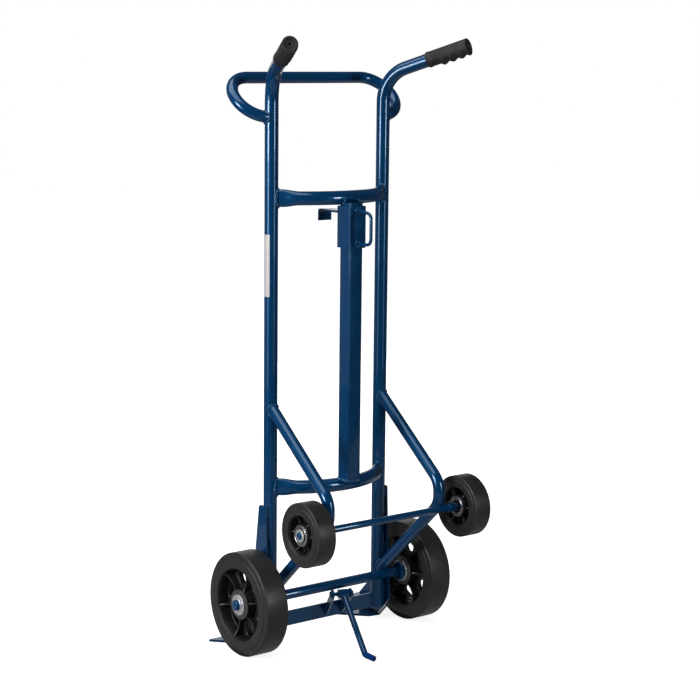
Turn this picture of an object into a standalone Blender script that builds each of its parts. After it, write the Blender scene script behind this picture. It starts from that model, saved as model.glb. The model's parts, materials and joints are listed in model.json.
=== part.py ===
"""Four-wheel drum hand truck: welded tube frame, sliding chime hook, kickstand.

X is across the truck (left is -X), +Y points towards the load, +Z is up.
All lengths are in metres. Positions along Y are measured from the main axle
and shifted by AXLE_Y, so that the origin is the middle of the footprint.
"""
import math

import bmesh
import bpy
from mathutils import Matrix, Vector

# ---------------------------------------------------------------- dimensions
GAP = 0.0003                 # clearance between pieces that touch
AXLE_Y = 0.07649             # main axle's distance in front of the origin

UPRIGHT_X = 0.1685           # half the spacing of the uprights
UPRIGHT_Y = 0.0305
UPRIGHT_R = 0.0167
UPRIGHT_BOTTOM = 0.034
UPRIGHT_BEND_Z = 1.3944      # where the straight tube and the handle would cross
UPRIGHT_BEND_R = 0.087
HANDLE_END = (0.2638, -0.1780, 1.4696)
TUBE_WALL = 0.0026

GRIP_LENGTH = 0.1125
GRIP_R = 0.0193
GRIP_COLLAR_R = 0.0203
GRIP_CAP = 0.005
GRIP_HOLE_R = 0.0025
GRIP_KEEL = 0.0050           # how far the finger crests stand below the grip
GRIP_FIRST_CREST = 0.0405
GRIP_CREST_PITCH = 0.0240
GRIP_KEEL_HALF_WIDTH = 0.009

LOOP_R = 0.0144
LOOP_BAR_Y = 0.1325
LOOP_BAR_Z = 1.3888
LOOP_ROOT_Z = 1.2978
LOOP_TURN_X = 0.1712         # centre of each end's half turn
LOOP_STEPS = 9

CROSS_R = 0.0170
CROSS_HALF_TALL = 0.0214     # half height of the flattened ends
CROSS_HALF_THIN = 0.0085
CROSS_BOW_Y = -0.0488        # middle of a crossbar
CROSS_END_Y = 0.0320
CROSS_UPPER_Z = 1.1058
CROSS_LOWER_Z = 0.3990

MAST_Y = -0.0655
MAST_SIDE = 0.040
MAST_WALL = 0.003
MAST_TOP = 1.1000
MAST_BOTTOM = CROSS_LOWER_Z + CROSS_R + GAP

SLEEVE_SIDE = 0.050
SLEEVE_WALL = 0.0045
SLEEVE_TOP = 1.0870
SLEEVE_BOTTOM = 0.9860
HOOK_WIDTH = 0.038
HOOK_THICK = 0.0055
HOOK_TOP = 1.0735
HOOK_LIP_DROP = 0.0300
HOOK_TIP_Y = 0.0460
PULL_ROD_R = 0.0041
PULL_UPPER_Z = 1.0765
PULL_LOWER_Z = 0.9970
PULL_OUT_Y = -0.1420
PULL_BEND_R = 0.015

BRACE_R = 0.0143
BRACE_TOP_Z = 0.5999         # where its line crosses the upright's axis
BRACE_BACK_Y = -0.2099
BRACE_BEND_UPPER_Z = 0.4116
BRACE_BEND_LOWER_Z = 0.3551
BRACE_FOOT_Z = 0.1283
BRACE_BEND_R = 0.053

MAIN_AXLE_R = 0.0127
MAIN_AXLE_END = 0.2905
MAIN_WHEEL_R = 0.127
MAIN_WHEEL_FACE = 0.2860
MAIN_WHEEL_WIDTH = 0.0640
MAIN_OPENING_R = 0.089
MAIN_CORE_R = 0.0935
MAIN_HUB_R = 0.0375
MAIN_HUB_FACE = 0.2820
MAIN_BEARING_R = 0.0260
COLLAR_R = 0.0230
RIB_PHASE = math.radians(17.0)

REAR_AXLE_Y = -0.2235
REAR_AXLE_Z = 0.3462
REAR_AXLE_R = 0.0085
REAR_AXLE_END = 0.2665
REAR_WHEEL_R = 0.0762
REAR_WHEEL_FACE = 0.2629
REAR_WHEEL_WIDTH = 0.0508
REAR_OPENING_R = 0.0450
REAR_CORE_R = 0.0490
REAR_HUB_R = 0.0285
REAR_HUB_FACE = 0.2605
REAR_BEARING_R = 0.0252

PLATE_THICK = 0.005
PLATE_X = UPRIGHT_X + UPRIGHT_R + GAP
BASE_BAR_THICK = 0.006
BASE_BAR_BOTTOM = 0.0350
BASE_BAR_TOP = 0.0728
TOE_THICK = 0.006
TOE_FRONT_Y = 0.127
LEDGE_TOP = 0.0425
LEDGE_FRONT_Y = 0.131

STAND_PIVOT = (0.0160, -0.0270, 0.1080)
STAND_SKEW = math.radians(20.0)   # the pivot pin is turned towards the load
STAND_BEND = (-0.0460, -0.1980, 0.0100)
STAND_TOE = (-0.0430, -0.2300, 0.0078)
STAND_ROD_R = 0.0076
STAND_BARREL_R = 0.0118
STAND_BARREL_HALF = 0.0140
STAND_PIN_R = 0.0050
EAR_THICK = 0.005
EAR_EYE_R = 0.0130
EAR_REACH = 0.0700            # past the base bar, before it is cut flush
EAR_LEFT_OFFSET = -0.0290
EAR_RIGHT_OFFSET = 0.0180

LABEL_BOTTOM = 0.869
LABEL_TOP = 1.019
LABEL_HALF_ANGLE = math.radians(44.0)
LABEL_THICK = 0.0004

TUBE_SIDES = 14
BRACE_SIDES = 14
RING_SIDES = 16
MAIN_SIDES = 30
REAR_SIDES = 24
SIDES = (("left", -1.0), ("right", 1.0))

# ------------------------------------------------------------------ materials
BLUE = ("blue_paint", (0.012, 0.060, 0.130), 0.25, 0.0)
RUBBER = ("moulded_rubber", (0.022, 0.022, 0.023), 0.60, 0.0)
GRIP_RUBBER = ("grip_rubber", (0.020, 0.020, 0.020), 0.70, 0.0)
CORE = ("black_wheel_core", (0.015, 0.015, 0.016), 0.45, 0.0)
ZINC = ("zinc_steel", (0.62, 0.63, 0.65), 0.30, 1.0)
PAPER = ("white_label", (0.82, 0.82, 0.82), 0.55, 0.0)


def clear_scene():
    for old in list(bpy.data.objects):
        bpy.data.objects.remove(old, do_unlink=True)


def new_collection(name):
    group = bpy.data.collections.new(name)
    bpy.context.scene.collection.children.link(group)
    return group


def make_material(look):
    name, colour, roughness, metallic = look
    material = bpy.data.materials.get(name)
    if material is None:
        material = bpy.data.materials.new(name)
        material.use_nodes = True
        shader = material.node_tree.nodes["Principled BSDF"]
        shader.inputs["Base Color"].default_value = (*colour, 1.0)
        shader.inputs["Roughness"].default_value = roughness
        shader.inputs["Metallic"].default_value = metallic
    return material


def add_part(name, mesh, look, place=Matrix.Identity(4)):
    """Put a mesh in the truck's collection, on the root empty."""
    part = bpy.data.objects.new(name, mesh)
    PARTS.objects.link(part)
    part.parent = ROOT
    part.matrix_local = place
    mesh.materials.clear()
    mesh.materials.append(make_material(look))
    return part


def add_cutter(name, mesh, place=Matrix.Identity(4)):
    cutter = bpy.data.objects.new(name, mesh)
    CUTTERS.objects.link(cutter)
    cutter.parent = ROOT
    cutter.matrix_local = place
    cutter.hide_render = True
    cutter.display_type = "WIRE"
    return cutter


def boolean(part, cutter, operation="DIFFERENCE"):
    step = part.modifiers.new(cutter.name, "BOOLEAN")
    step.operation = operation
    step.solver = "EXACT"
    step.object = cutter


def smooth(part, angle=35.0):
    part.data.shade_smooth()
    part.data.set_sharp_from_angle(angle=math.radians(angle))


# --------------------------------------------------------------- basic shapes
def box_mesh(name, low, high):
    mesh = bpy.data.meshes.new(name)
    bm = bmesh.new()
    bmesh.ops.create_cube(bm, size=1.0)
    size = [b - a for a, b in zip(low, high)]
    middle = [(a + b) / 2.0 for a, b in zip(low, high)]
    bmesh.ops.scale(bm, vec=size, verts=bm.verts)
    bmesh.ops.translate(bm, vec=middle, verts=bm.verts)
    bm.to_mesh(mesh)
    bm.free()
    return mesh


def cylinder_mesh(name, radius, length, sides):
    """A capped cylinder along Z, centred on the origin."""
    mesh = bpy.data.meshes.new(name)
    bm = bmesh.new()
    bmesh.ops.create_cone(bm, cap_ends=True, segments=sides, radius1=radius,
                          radius2=radius, depth=length)
    bm.to_mesh(mesh)
    bm.free()
    return mesh


def around(radius, sides):
    """Corner radius of a regular cutter that clears a given radius all round."""
    return radius / math.cos(math.pi / sides)


def along_x(x, y, z):
    """Places a shape that was made along Z so that it runs along X."""
    return Matrix.Translation((x, y, z)) @ Matrix.Rotation(math.pi / 2.0, 4, "Y")


def turned(name, profile, steps, look, place, closed=True):
    """Turn a profile of (radius, height) points about Z.

    The points run down the outer side from top to bottom and, on a ring,
    back up the inner side.
    """
    mesh = bpy.data.meshes.new(name)
    bm = bmesh.new()
    verts = [bm.verts.new((radius, 0.0, height)) for radius, height in profile]
    for a, b in zip(verts, verts[1:]):
        bm.edges.new((a, b))
    if closed:
        bm.edges.new((verts[-1], verts[0]))
    bm.to_mesh(mesh)
    bm.free()
    part = add_part(name, mesh, look, place)
    screw = part.modifiers.new("turn", "SCREW")
    screw.axis = "Z"
    screw.steps = steps
    screw.render_steps = steps
    screw.use_merge_vertices = True
    screw.merge_threshold = 0.00001
    screw.use_smooth_shade = False
    return part


def ring(name, outer, inner, low, high, steps, look, place, edge=0.0):
    """A plain ring, with an optional small chamfer on its outer edges."""
    if edge > 0.0:
        profile = [(outer - edge, high), (outer, high - edge),
                   (outer, low + edge), (outer - edge, low)]
    else:
        profile = [(outer, high), (outer, low)]
    profile += [(inner, low), (inner, high)]
    return turned(name, profile, steps, look, place)


def filleted(points, radii, arc_steps):
    """A route through points whose corners are rounded with the given radii."""
    points = [Vector(p) for p in points]
    route = [points[0]]
    for before, corner, after, radius in zip(points, points[1:], points[2:], radii):
        to_before = (before - corner).normalized()
        to_after = (after - corner).normalized()
        half = to_before.angle(to_after) / 2.0
        tangent = radius / math.tan(half)
        centre = corner + (to_before + to_after).normalized() * radius / math.sin(half)
        first = corner + to_before * tangent - centre
        last = corner + to_after * tangent - centre
        sweep = first.angle(last)
        for step in range(arc_steps + 1):
            t = step / arc_steps
            spoke = (math.sin((1.0 - t) * sweep) * first + math.sin(t * sweep) * last)
            route.append(centre + spoke / math.sin(sweep))
    route.append(points[-1])
    return route


def rod_mesh(name, route, radius, sides, caps=True):
    """A round rod along a route: a bevelled curve turned into a welded mesh."""
    curve = bpy.data.curves.new(name + "_route", "CURVE")
    curve.dimensions = "3D"
    curve.bevel_depth = radius
    curve.bevel_resolution = (sides - 4) // 2
    curve.use_fill_caps = caps
    curve.twist_mode = "MINIMUM"
    spline = curve.splines.new("POLY")
    spline.points.add(len(route) - 1)
    for point, place in zip(spline.points, route):
        point.co = (*place, 1.0)
    holder = bpy.data.objects.new(name + "_route", curve)
    return mesh_from(holder, name)


def plate_mesh(name, outline, thickness):
    """A flat plate: an outline in its own XY plane, centred on Z = 0."""
    curve = bpy.data.curves.new(name + "_outline", "CURVE")
    curve.dimensions = "2D"
    curve.fill_mode = "BOTH"
    curve.extrude = thickness / 2.0
    spline = curve.splines.new("POLY")
    spline.points.add(len(outline) - 1)
    for point, place in zip(spline.points, outline):
        point.co = (place[0], place[1], 0.0, 1.0)
    spline.use_cyclic_u = True
    holder = bpy.data.objects.new(name + "_outline", curve)
    return mesh_from(holder, name)


def mesh_from(holder, name):
    """The mesh of a curve object, with its loose caps welded on."""
    bpy.context.scene.collection.objects.link(holder)
    bpy.context.view_layer.update()
    seen = holder.evaluated_get(bpy.context.evaluated_depsgraph_get())
    mesh = bpy.data.meshes.new_from_object(seen)
    mesh.name = name
    bm = bmesh.new()
    bm.from_mesh(mesh)
    bmesh.ops.remove_doubles(bm, verts=bm.verts, dist=0.000005)
    bmesh.ops.recalc_face_normals(bm, faces=bm.faces)
    bm.to_mesh(mesh)
    bm.free()
    curve = holder.data
    bpy.data.objects.remove(holder, do_unlink=True)
    bpy.data.curves.remove(curve)
    return mesh


def tube(name, route, radius, sides, look=BLUE):
    """A hollow tube along a route, open at both ends."""
    part = add_part(name, rod_mesh(name, route, radius, sides, caps=False), look)
    wall = part.modifiers.new("wall", "SOLIDIFY")
    wall.thickness = TUBE_WALL
    wall.offset = -1.0
    wall.use_even_offset = True
    smooth(part)
    return part


def mirrored(points, side):
    return [Vector((side * p[0], p[1], p[2])) for p in points]


# ---------------------------------------------------------------------- frame
def upright_cutter(side):
    radius = around(UPRIGHT_R + GAP, 24)
    mesh = cylinder_mesh("upright_space", radius, UPRIGHT_BEND_Z, 24)
    return add_cutter("upright_space_%d" % side, mesh,
                      Matrix.Translation((side * UPRIGHT_X, UPRIGHT_Y, UPRIGHT_BEND_Z / 2.0)))


def handle_direction(side):
    corner = Vector((side * UPRIGHT_X, UPRIGHT_Y, UPRIGHT_BEND_Z))
    end = Vector((side * HANDLE_END[0], HANDLE_END[1], HANDLE_END[2]))
    return corner, end, (end - corner).normalized()


def upright(label, side):
    corner, end, direction = handle_direction(side)
    foot = (side * UPRIGHT_X, UPRIGHT_Y, UPRIGHT_BOTTOM)
    tip = end - direction * (GRIP_CAP + GAP)
    route = filleted([foot, corner, tip], [UPRIGHT_BEND_R], 6)
    return tube("upright_" + label, route, UPRIGHT_R, TUBE_SIDES)


def finger_keel(name):
    """Side view of the finger crests under a grip, as a plate outline."""
    start = GRIP_FIRST_CREST - GRIP_CREST_PITCH / 2.0
    end = GRIP_LENGTH - 0.0015
    inside = -GRIP_R / 3.0
    count = 22
    outline = [(start, inside)]
    for step in range(count + 1):
        along = start + (end - start) * step / count
        turn = 2.0 * math.pi * (along - GRIP_FIRST_CREST) / GRIP_CREST_PITCH
        crest = 0.5 + 0.5 * math.cos(turn)
        taper = 0.0006 * (step / count) ** 2
        outline.append((along, taper - GRIP_R - GRIP_KEEL * (1.15 * crest - 0.15)))
    outline.append((end, inside))
    return plate_mesh(name, outline, 2.0 * GRIP_KEEL_HALF_WIDTH)


def grip(label, side):
    """Rubber handle grip with finger crests below and a small end hole."""
    name = "grip_" + label
    corner, end, direction = handle_direction(side)
    down = Vector((0.0, 0.0, -1.0))
    across = down.cross(direction).normalized()
    below = direction.cross(across).normalized()
    start = end - direction * GRIP_LENGTH
    axes = Matrix((across, below, direction)).transposed().to_4x4()
    place = Matrix.Translation(start) @ axes
    profile = [(GRIP_HOLE_R, GRIP_LENGTH), (GRIP_R - 0.002, GRIP_LENGTH),
               (GRIP_R, GRIP_LENGTH - 0.002), (GRIP_R, 0.008),
               (GRIP_COLLAR_R, 0.007), (GRIP_COLLAR_R, 0.0), (GRIP_HOLE_R, 0.0)]
    part = turned(name, profile, 20, GRIP_RUBBER, place)
    keel_axes = Matrix((direction, -below, across)).transposed().to_4x4()
    keel = add_cutter(name + "_keel", finger_keel(name + "_keel"),
                      Matrix.Translation(start) @ keel_axes)
    boolean(part, keel, "UNION")
    bore = around(UPRIGHT_R + GAP, 20)
    cavity_length = GRIP_LENGTH - GRIP_CAP + 0.020
    cavity = cylinder_mesh(name + "_cavity", bore, cavity_length, 20)
    middle = start + direction * (cavity_length / 2.0 - 0.020)
    boolean(part, add_cutter(name + "_cavity", cavity, Matrix.Translation(middle) @ axes))
    return part


def top_loop(cutters):
    """Level bar behind the uprights; each end makes a half turn back to one."""
    root = Vector((LOOP_TURN_X, UPRIGHT_Y + 0.0039, LOOP_ROOT_Z))
    bar = Vector((LOOP_TURN_X, LOOP_BAR_Y, LOOP_BAR_Z))
    centre = (root + bar) / 2.0
    spoke = (root - bar) / 2.0
    radius = spoke.length
    turn = []
    for step in range(LOOP_STEPS + 1):
        angle = math.pi * step / LOOP_STEPS
        turn.append(centre + spoke * math.cos(angle)
                    + Vector((radius * math.sin(angle), 0.0, 0.0)))
    start = root - Vector((0.010, 0.0, 0.0))
    right = [start] + turn
    left = [Vector((-p.x, p.y, p.z)) for p in reversed(right)]
    part = tube("top_loop", right + left, LOOP_R, BRACE_SIDES)
    for cutter in cutters:
        boolean(part, cutter)
    return part


def crossbar(name, height, cutters):
    """A tube bowed towards the user whose ends are pressed flat and coped."""
    half = UPRIGHT_X - 0.004
    bow = CROSS_END_Y - CROSS_BOW_Y
    bend_r = (UPRIGHT_X ** 2 + bow ** 2) / (2.0 * bow)
    reach = math.asin(half / bend_r)
    rings = 11
    mesh = bpy.data.meshes.new(name)
    bm = bmesh.new()
    loops = []
    for index in range(rings):
        angle = reach * (-1.0 + 2.0 * index / (rings - 1))
        centre = Vector((bend_r * math.sin(angle),
                         CROSS_BOW_Y + bend_r * (1.0 - math.cos(angle)), height))
        outward = Vector((-math.sin(angle), math.cos(angle), 0.0))
        from_end = bend_r * (reach - abs(angle))
        press = max(0.0, min(1.0, 1.35 - from_end / 0.040))
        press = press * press * (3.0 - 2.0 * press)
        tall = CROSS_R + (CROSS_HALF_TALL - CROSS_R) * press
        thin = CROSS_R + (CROSS_HALF_THIN - CROSS_R) * press
        loop = []
        for side in range(TUBE_SIDES):
            turn = 2.0 * math.pi * side / TUBE_SIDES
            offset = outward * (thin * math.cos(turn))
            offset += Vector((0.0, 0.0, tall * math.sin(turn)))
            loop.append(bm.verts.new(centre + offset))
        loops.append(loop)
    for first, second in zip(loops, loops[1:]):
        for side in range(TUBE_SIDES):
            after = (side + 1) % TUBE_SIDES
            bm.faces.new((first[side], first[after], second[after], second[side]))
    bmesh.ops.recalc_face_normals(bm, faces=bm.faces)
    bm.to_mesh(mesh)
    bm.free()
    part = add_part(name, mesh, BLUE)
    wall = part.modifiers.new("wall", "SOLIDIFY")
    wall.thickness = TUBE_WALL
    wall.offset = -1.0
    smooth(part)
    for cutter in cutters:
        boolean(part, cutter)
    return part


def square_tube(name, side_length, wall, low, high, centre_y):
    half = side_length / 2.0
    part = add_part(name, box_mesh(name, (-half, centre_y - half, low),
                                   (half, centre_y + half, high)), BLUE)
    edge = part.modifiers.new("corner", "BEVEL")
    edge.width = 0.003
    edge.segments = 2
    edge.limit_method = "WEIGHT"
    weights = part.data.attributes.new("bevel_weight_edge", "FLOAT", "EDGE")
    for item in part.data.edges:
        ends = [part.data.vertices[i].co.z for i in item.vertices]
        weights.data[item.index].value = 1.0 if abs(ends[0] - ends[1]) > 0.01 else 0.0
    inner = half - wall
    bore = box_mesh(name + "_bore", (-inner, centre_y - inner, low - 0.01),
                    (inner, centre_y + inner, high + 0.01))
    boolean(part, add_cutter(name + "_bore", bore))
    return part


def mast():
    part = square_tube("mast", MAST_SIDE, MAST_WALL, MAST_BOTTOM, MAST_TOP, MAST_Y)
    clear = around(CROSS_R + GAP + 0.0010, 24)
    cope = cylinder_mesh("mast_cope", clear, 0.08, 24)
    boolean(part, add_cutter("mast_cope", cope,
                             along_x(0.0, CROSS_BOW_Y, CROSS_UPPER_Z)))
    return part


def brace(label, side, cutters):
    route = filleted(
        [(side * UPRIGHT_X, UPRIGHT_Y - 0.008, BRACE_TOP_Z - 0.0063),
         (side * UPRIGHT_X, BRACE_BACK_Y, BRACE_BEND_UPPER_Z),
         (side * UPRIGHT_X, BRACE_BACK_Y, BRACE_BEND_LOWER_Z),
         (side * UPRIGHT_X, UPRIGHT_Y - 0.008, BRACE_FOOT_Z + 0.0075)],
        [BRACE_BEND_R, BRACE_BEND_R], 4)
    part = tube("brace_" + label, route, BRACE_R, BRACE_SIDES)
    for cutter in cutters:
        boolean(part, cutter)
    return part


def axle(name, radius, end, y, z, sides):
    part = add_part(name, cylinder_mesh(name, radius, 2.0 * end, sides), BLUE,
                    along_x(0.0, y, z))
    edge = part.modifiers.new("edge", "BEVEL")
    edge.width = 0.001
    edge.segments = 1
    edge.angle_limit = math.radians(60.0)
    smooth(part)
    return part


def axle_cutter(name, radius, y, z):
    mesh = cylinder_mesh(name, around(radius + GAP, 24), 0.7, 24)
    return add_cutter(name, mesh, along_x(0.0, y, z))


# ----------------------------------------------------------- plates and toes
def arc_points(centre, radius, start, end, steps):
    points = []
    for step in range(steps + 1):
        angle = math.radians(start + (end - start) * step / steps)
        points.append((centre[0] + radius * math.cos(angle),
                       centre[1] + radius * math.sin(angle)))
    return points


def upright_plate(label, side, cutter):
    """Tapered plate on the outer side of an upright, down to the toe."""
    corner = 0.008
    outline = [(0.0030, 0.0550), (0.0470, 0.0100), (0.0520, TOE_THICK + GAP),
               (LEDGE_FRONT_Y - 0.006, TOE_THICK + GAP), (LEDGE_FRONT_Y - 0.001, 0.0300),
               (LEDGE_FRONT_Y, LEDGE_TOP - 0.002), (0.0800, 0.0940)]
    outline += arc_points((0.0490 - corner, 0.3530 - corner), corner, 8.0, 90.0, 4)
    outline += [(0.0190, 0.3530)]
    mesh = plate_mesh("side_plate_" + label, outline, PLATE_THICK)
    axes = Matrix(((0.0, 0.0, 1.0), (1.0, 0.0, 0.0), (0.0, 1.0, 0.0))).to_4x4()
    middle = side * (PLATE_X + PLATE_THICK / 2.0)
    part = add_part("side_plate_" + label, mesh, BLUE,
                    Matrix.Translation((middle, 0.0, 0.0)) @ axes)
    boolean(part, cutter)
    return part


def toe(label, side):
    """Flat fan-shaped toe on the floor, with two points that spread out."""
    half = TOE_THICK / 2.0
    outline = [(0.1620, 0.0525), (0.1925, 0.0480), (0.2640, 0.1015), (0.2830, 0.1225),
               (0.2860, TOE_FRONT_Y), (0.2780, TOE_FRONT_Y), (0.1005, TOE_FRONT_Y),
               (0.0930, 0.1240), (0.1005, 0.1160)]
    mesh = plate_mesh("toe_" + label, [(side * x, y) for x, y in outline], TOE_THICK)
    part = add_part("toe_" + label, mesh, BLUE, Matrix.Translation((0.0, 0.0, half)))
    edge = part.modifiers.new("edge", "BEVEL")
    edge.width = 0.0008
    edge.segments = 1
    edge.angle_limit = math.radians(60.0)
    return part


def toe_ledge(label, side):
    """Short shelf between the upright's foot and the plate's front edge."""
    outer = UPRIGHT_X + UPRIGHT_R
    low = (side * outer if side < 0.0 else outer - 0.0280,
           UPRIGHT_Y + UPRIGHT_R + GAP, LEDGE_TOP - TOE_THICK)
    high = (low[0] + 0.0280, LEDGE_FRONT_Y, LEDGE_TOP)
    return add_part("toe_ledge_" + label, box_mesh("toe_ledge_" + label, low, high), BLUE)


def base_bar(cutters):
    half = BASE_BAR_THICK / 2.0
    mesh = box_mesh("base_bar", (-UPRIGHT_X, UPRIGHT_Y - half, BASE_BAR_BOTTOM),
                    (UPRIGHT_X, UPRIGHT_Y + half, BASE_BAR_TOP))
    part = add_part("base_bar", mesh, BLUE)
    for cutter in cutters:
        boolean(part, cutter)
    return part


# ------------------------------------------------------------------- carriage
def carriage_sleeve():
    return square_tube("carriage_sleeve", SLEEVE_SIDE, SLEEVE_WALL, SLEEVE_BOTTOM,
                       SLEEVE_TOP, MAST_Y)


def chime_hook():
    """Flat bar from the sleeve to the load side, with its tip turned down."""
    start = MAST_Y + SLEEVE_SIDE / 2.0 + GAP
    outline = [(start, HOOK_TOP - HOOK_THICK),
               (HOOK_TIP_Y - HOOK_THICK - 0.003, HOOK_TOP - HOOK_THICK)]
    outline += [(HOOK_TIP_Y - HOOK_THICK, HOOK_TOP - HOOK_THICK - 0.003),
                (HOOK_TIP_Y - HOOK_THICK, HOOK_TOP - HOOK_LIP_DROP),
                (HOOK_TIP_Y, HOOK_TOP - HOOK_LIP_DROP)]
    outline += arc_points((HOOK_TIP_Y - 0.008, HOOK_TOP - 0.008), 0.008, 0.0, 90.0, 4)
    outline += [(start, HOOK_TOP)]
    mesh = plate_mesh("chime_hook", outline, HOOK_WIDTH)
    axes = Matrix(((0.0, 0.0, 1.0), (1.0, 0.0, 0.0), (0.0, 1.0, 0.0))).to_4x4()
    return add_part("chime_hook", mesh, BLUE, axes)


def carriage_pull():
    """Bent rod handle on the sleeve's user face."""
    face = MAST_Y - SLEEVE_SIDE / 2.0 - GAP
    route = filleted([(0.0, face, PULL_UPPER_Z), (0.0, PULL_OUT_Y, PULL_UPPER_Z - 0.004),
                      (0.0, PULL_OUT_Y, PULL_LOWER_Z + 0.001), (0.0, face, PULL_LOWER_Z)],
                     [PULL_BEND_R, PULL_BEND_R], 4)
    part = add_part("carriage_pull", rod_mesh("carriage_pull", route, PULL_ROD_R, 10), BLUE)
    smooth(part)
    return part


# --------------------------------------------------------------------- wheels
def wheel_place(side, y, z):
    """Wheels are turned about Z with their outer side up, then laid on X."""
    return Matrix.Translation((0.0, y, z)) @ Matrix.Rotation(side * math.pi / 2.0, 4, "Y")


def tyre(name, radius, core_r, opening_r, face, width, steps, place):
    """Moulded rubber tyre with a raised inner band on each side."""
    inner = face - width
    step_r = opening_r + (radius - opening_r) * 0.60
    drop = width * 0.035
    corner = width * 0.085
    lip = 0.003
    profile = [(step_r, face), (step_r + drop, face - drop),
               (radius - corner, face - drop), (radius, face - drop - corner),
               (radius, inner + drop + corner), (radius - corner, inner + drop),
               (step_r + drop, inner + drop), (step_r, inner),
               (opening_r, inner), (opening_r, inner + lip), (core_r + GAP, inner + lip),
               (core_r + GAP, face - lip), (opening_r, face - lip), (opening_r, face)]
    return turned(name, profile, steps, RUBBER, place)


def wheel_core(name, core_r, hub_r, bore_r, face, width, hub_face, hub_inner, steps,
               place, rib, window_r, window_at):
    """Spoked core: rim, web with windows, ribs and a hub for two bearings."""
    inner = face - width
    middle = face - width / 2.0
    lip = 0.003 + GAP
    rim_inner = core_r - 0.0075
    web = 0.0035
    profile = [(core_r, face - lip), (core_r, inner + lip), (rim_inner, inner + lip),
               (rim_inner, middle - web), (hub_r, middle - web), (hub_r, hub_inner),
               (bore_r, hub_inner), (bore_r, hub_face), (hub_r, hub_face),
               (hub_r, middle + web), (rim_inner, middle + web), (rim_inner, face - lip)]
    part = turned(name, profile, steps, CORE, place)
    rib_high = width * 0.5 - 0.010
    for index in range(6):
        angle = RIB_PHASE + math.pi / 3.0 * index
        spin = place @ Matrix.Rotation(angle, 4, "Z")
        mesh = box_mesh(name + "_rib", (hub_r - 0.002, -rib / 2.0, middle - rib_high),
                        (rim_inner + 0.002, rib / 2.0, middle + rib_high))
        boolean(part, add_cutter("%s_rib_%d" % (name, index), mesh, spin), "UNION")
    for index in range(6):
        angle = RIB_PHASE + math.pi / 3.0 * (index + 0.5)
        spin = place @ Matrix.Rotation(angle, 4, "Z")
        mesh = cylinder_mesh(name + "_window", window_r, 0.03, 8)
        shift = Matrix.Translation((window_at, 0.0, middle))
        boolean(part, add_cutter("%s_window_%d" % (name, index), mesh, spin @ shift))
    return part


def wheel(prefix, label, side, y, z, sizes):
    (radius, core_r, opening_r, face, width, hub_r, hub_face, bearing_r, axle_r,
     bearing_width, steps, rib, window_r, window_at) = sizes
    place = wheel_place(side, y, z)
    hub_inner = face - width
    name = "%s_%%s_%s" % (prefix, label)
    tyre(name % "tyre", radius, core_r, opening_r, face, width, steps, place)
    wheel_core(name % "core", core_r, hub_r, bearing_r + GAP, face, width, hub_face,
               hub_inner, steps, place, rib, window_r, window_at)
    bore = around(axle_r + 0.00008, RING_SIDES)
    ring(name % "bearing_outer", bearing_r, bore, hub_face - bearing_width,
         hub_face - 0.0005, RING_SIDES, ZINC, place)
    ring(name % "bearing_inner", bearing_r, bore, hub_inner + 0.0005,
         hub_inner + bearing_width, RING_SIDES, ZINC, place)


def axle_hardware(label, side):
    """Collars, washers and pins that keep the wheels on both axles."""
    main = wheel_place(side, 0.0, MAIN_WHEEL_R)
    bore = around(MAIN_AXLE_R + 0.0001, RING_SIDES)
    inner_face = MAIN_WHEEL_FACE - MAIN_WHEEL_WIDTH
    ring("main_collar_" + label, COLLAR_R, bore, inner_face - 0.0100,
         inner_face - 0.0026, RING_SIDES, BLUE, main, 0.001)
    ring("main_washer_inner_" + label, 0.028, bore, inner_face - 0.0023,
         inner_face - GAP, RING_SIDES, ZINC, main)
    ring("main_washer_outer_" + label, 0.0255, bore, MAIN_HUB_FACE + GAP,
         MAIN_HUB_FACE + 0.0023, RING_SIDES, ZINC, main)
    rear = wheel_place(side, REAR_AXLE_Y, REAR_AXLE_Z)
    bore = around(REAR_AXLE_R + 0.0001, RING_SIDES)
    rear_inner = REAR_WHEEL_FACE - REAR_WHEEL_WIDTH
    start = UPRIGHT_X + BRACE_R + 0.0006
    ring("rear_spacer_" + label, 0.0112, bore, start, rear_inner - GAP, RING_SIDES, BLUE, rear)
    ring("rear_washer_" + label, 0.0155, bore, REAR_HUB_FACE + GAP,
         REAR_HUB_FACE + 0.0021, RING_SIDES, ZINC, rear)


# ------------------------------------------------------------------ kickstand
def stand_frame():
    """Pivot centre and axes: along the pin, towards the load, and up."""
    pin = Vector((math.cos(STAND_SKEW), -math.sin(STAND_SKEW), 0.0))
    load = Vector((math.sin(STAND_SKEW), math.cos(STAND_SKEW), 0.0))
    return Vector(STAND_PIVOT), pin, load


def stand_ear(name, offset, cutters):
    """Bracket ear: a round eye on the pin, tapering out to the base bar."""
    centre, pin, load = stand_frame()
    outline = arc_points((0.0, 0.0), EAR_EYE_R, 72.0, 250.0, 8)
    outline += [(EAR_REACH, BASE_BAR_BOTTOM + 0.004 - STAND_PIVOT[2]),
                (EAR_REACH, BASE_BAR_TOP - 0.002 - STAND_PIVOT[2])]
    mesh = plate_mesh(name, outline, EAR_THICK)
    axes = Matrix((load, Vector((0.0, 0.0, 1.0)), pin)).transposed().to_4x4()
    place = Matrix.Translation(centre + pin * offset) @ axes
    part = add_part(name, mesh, BLUE, place)
    hole = cylinder_mesh(name + "_hole", around(STAND_PIN_R + GAP, 16), 0.03, 16)
    boolean(part, add_cutter(name + "_hole", hole, place))
    for cutter in cutters:
        boolean(part, cutter)
    return part


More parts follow.
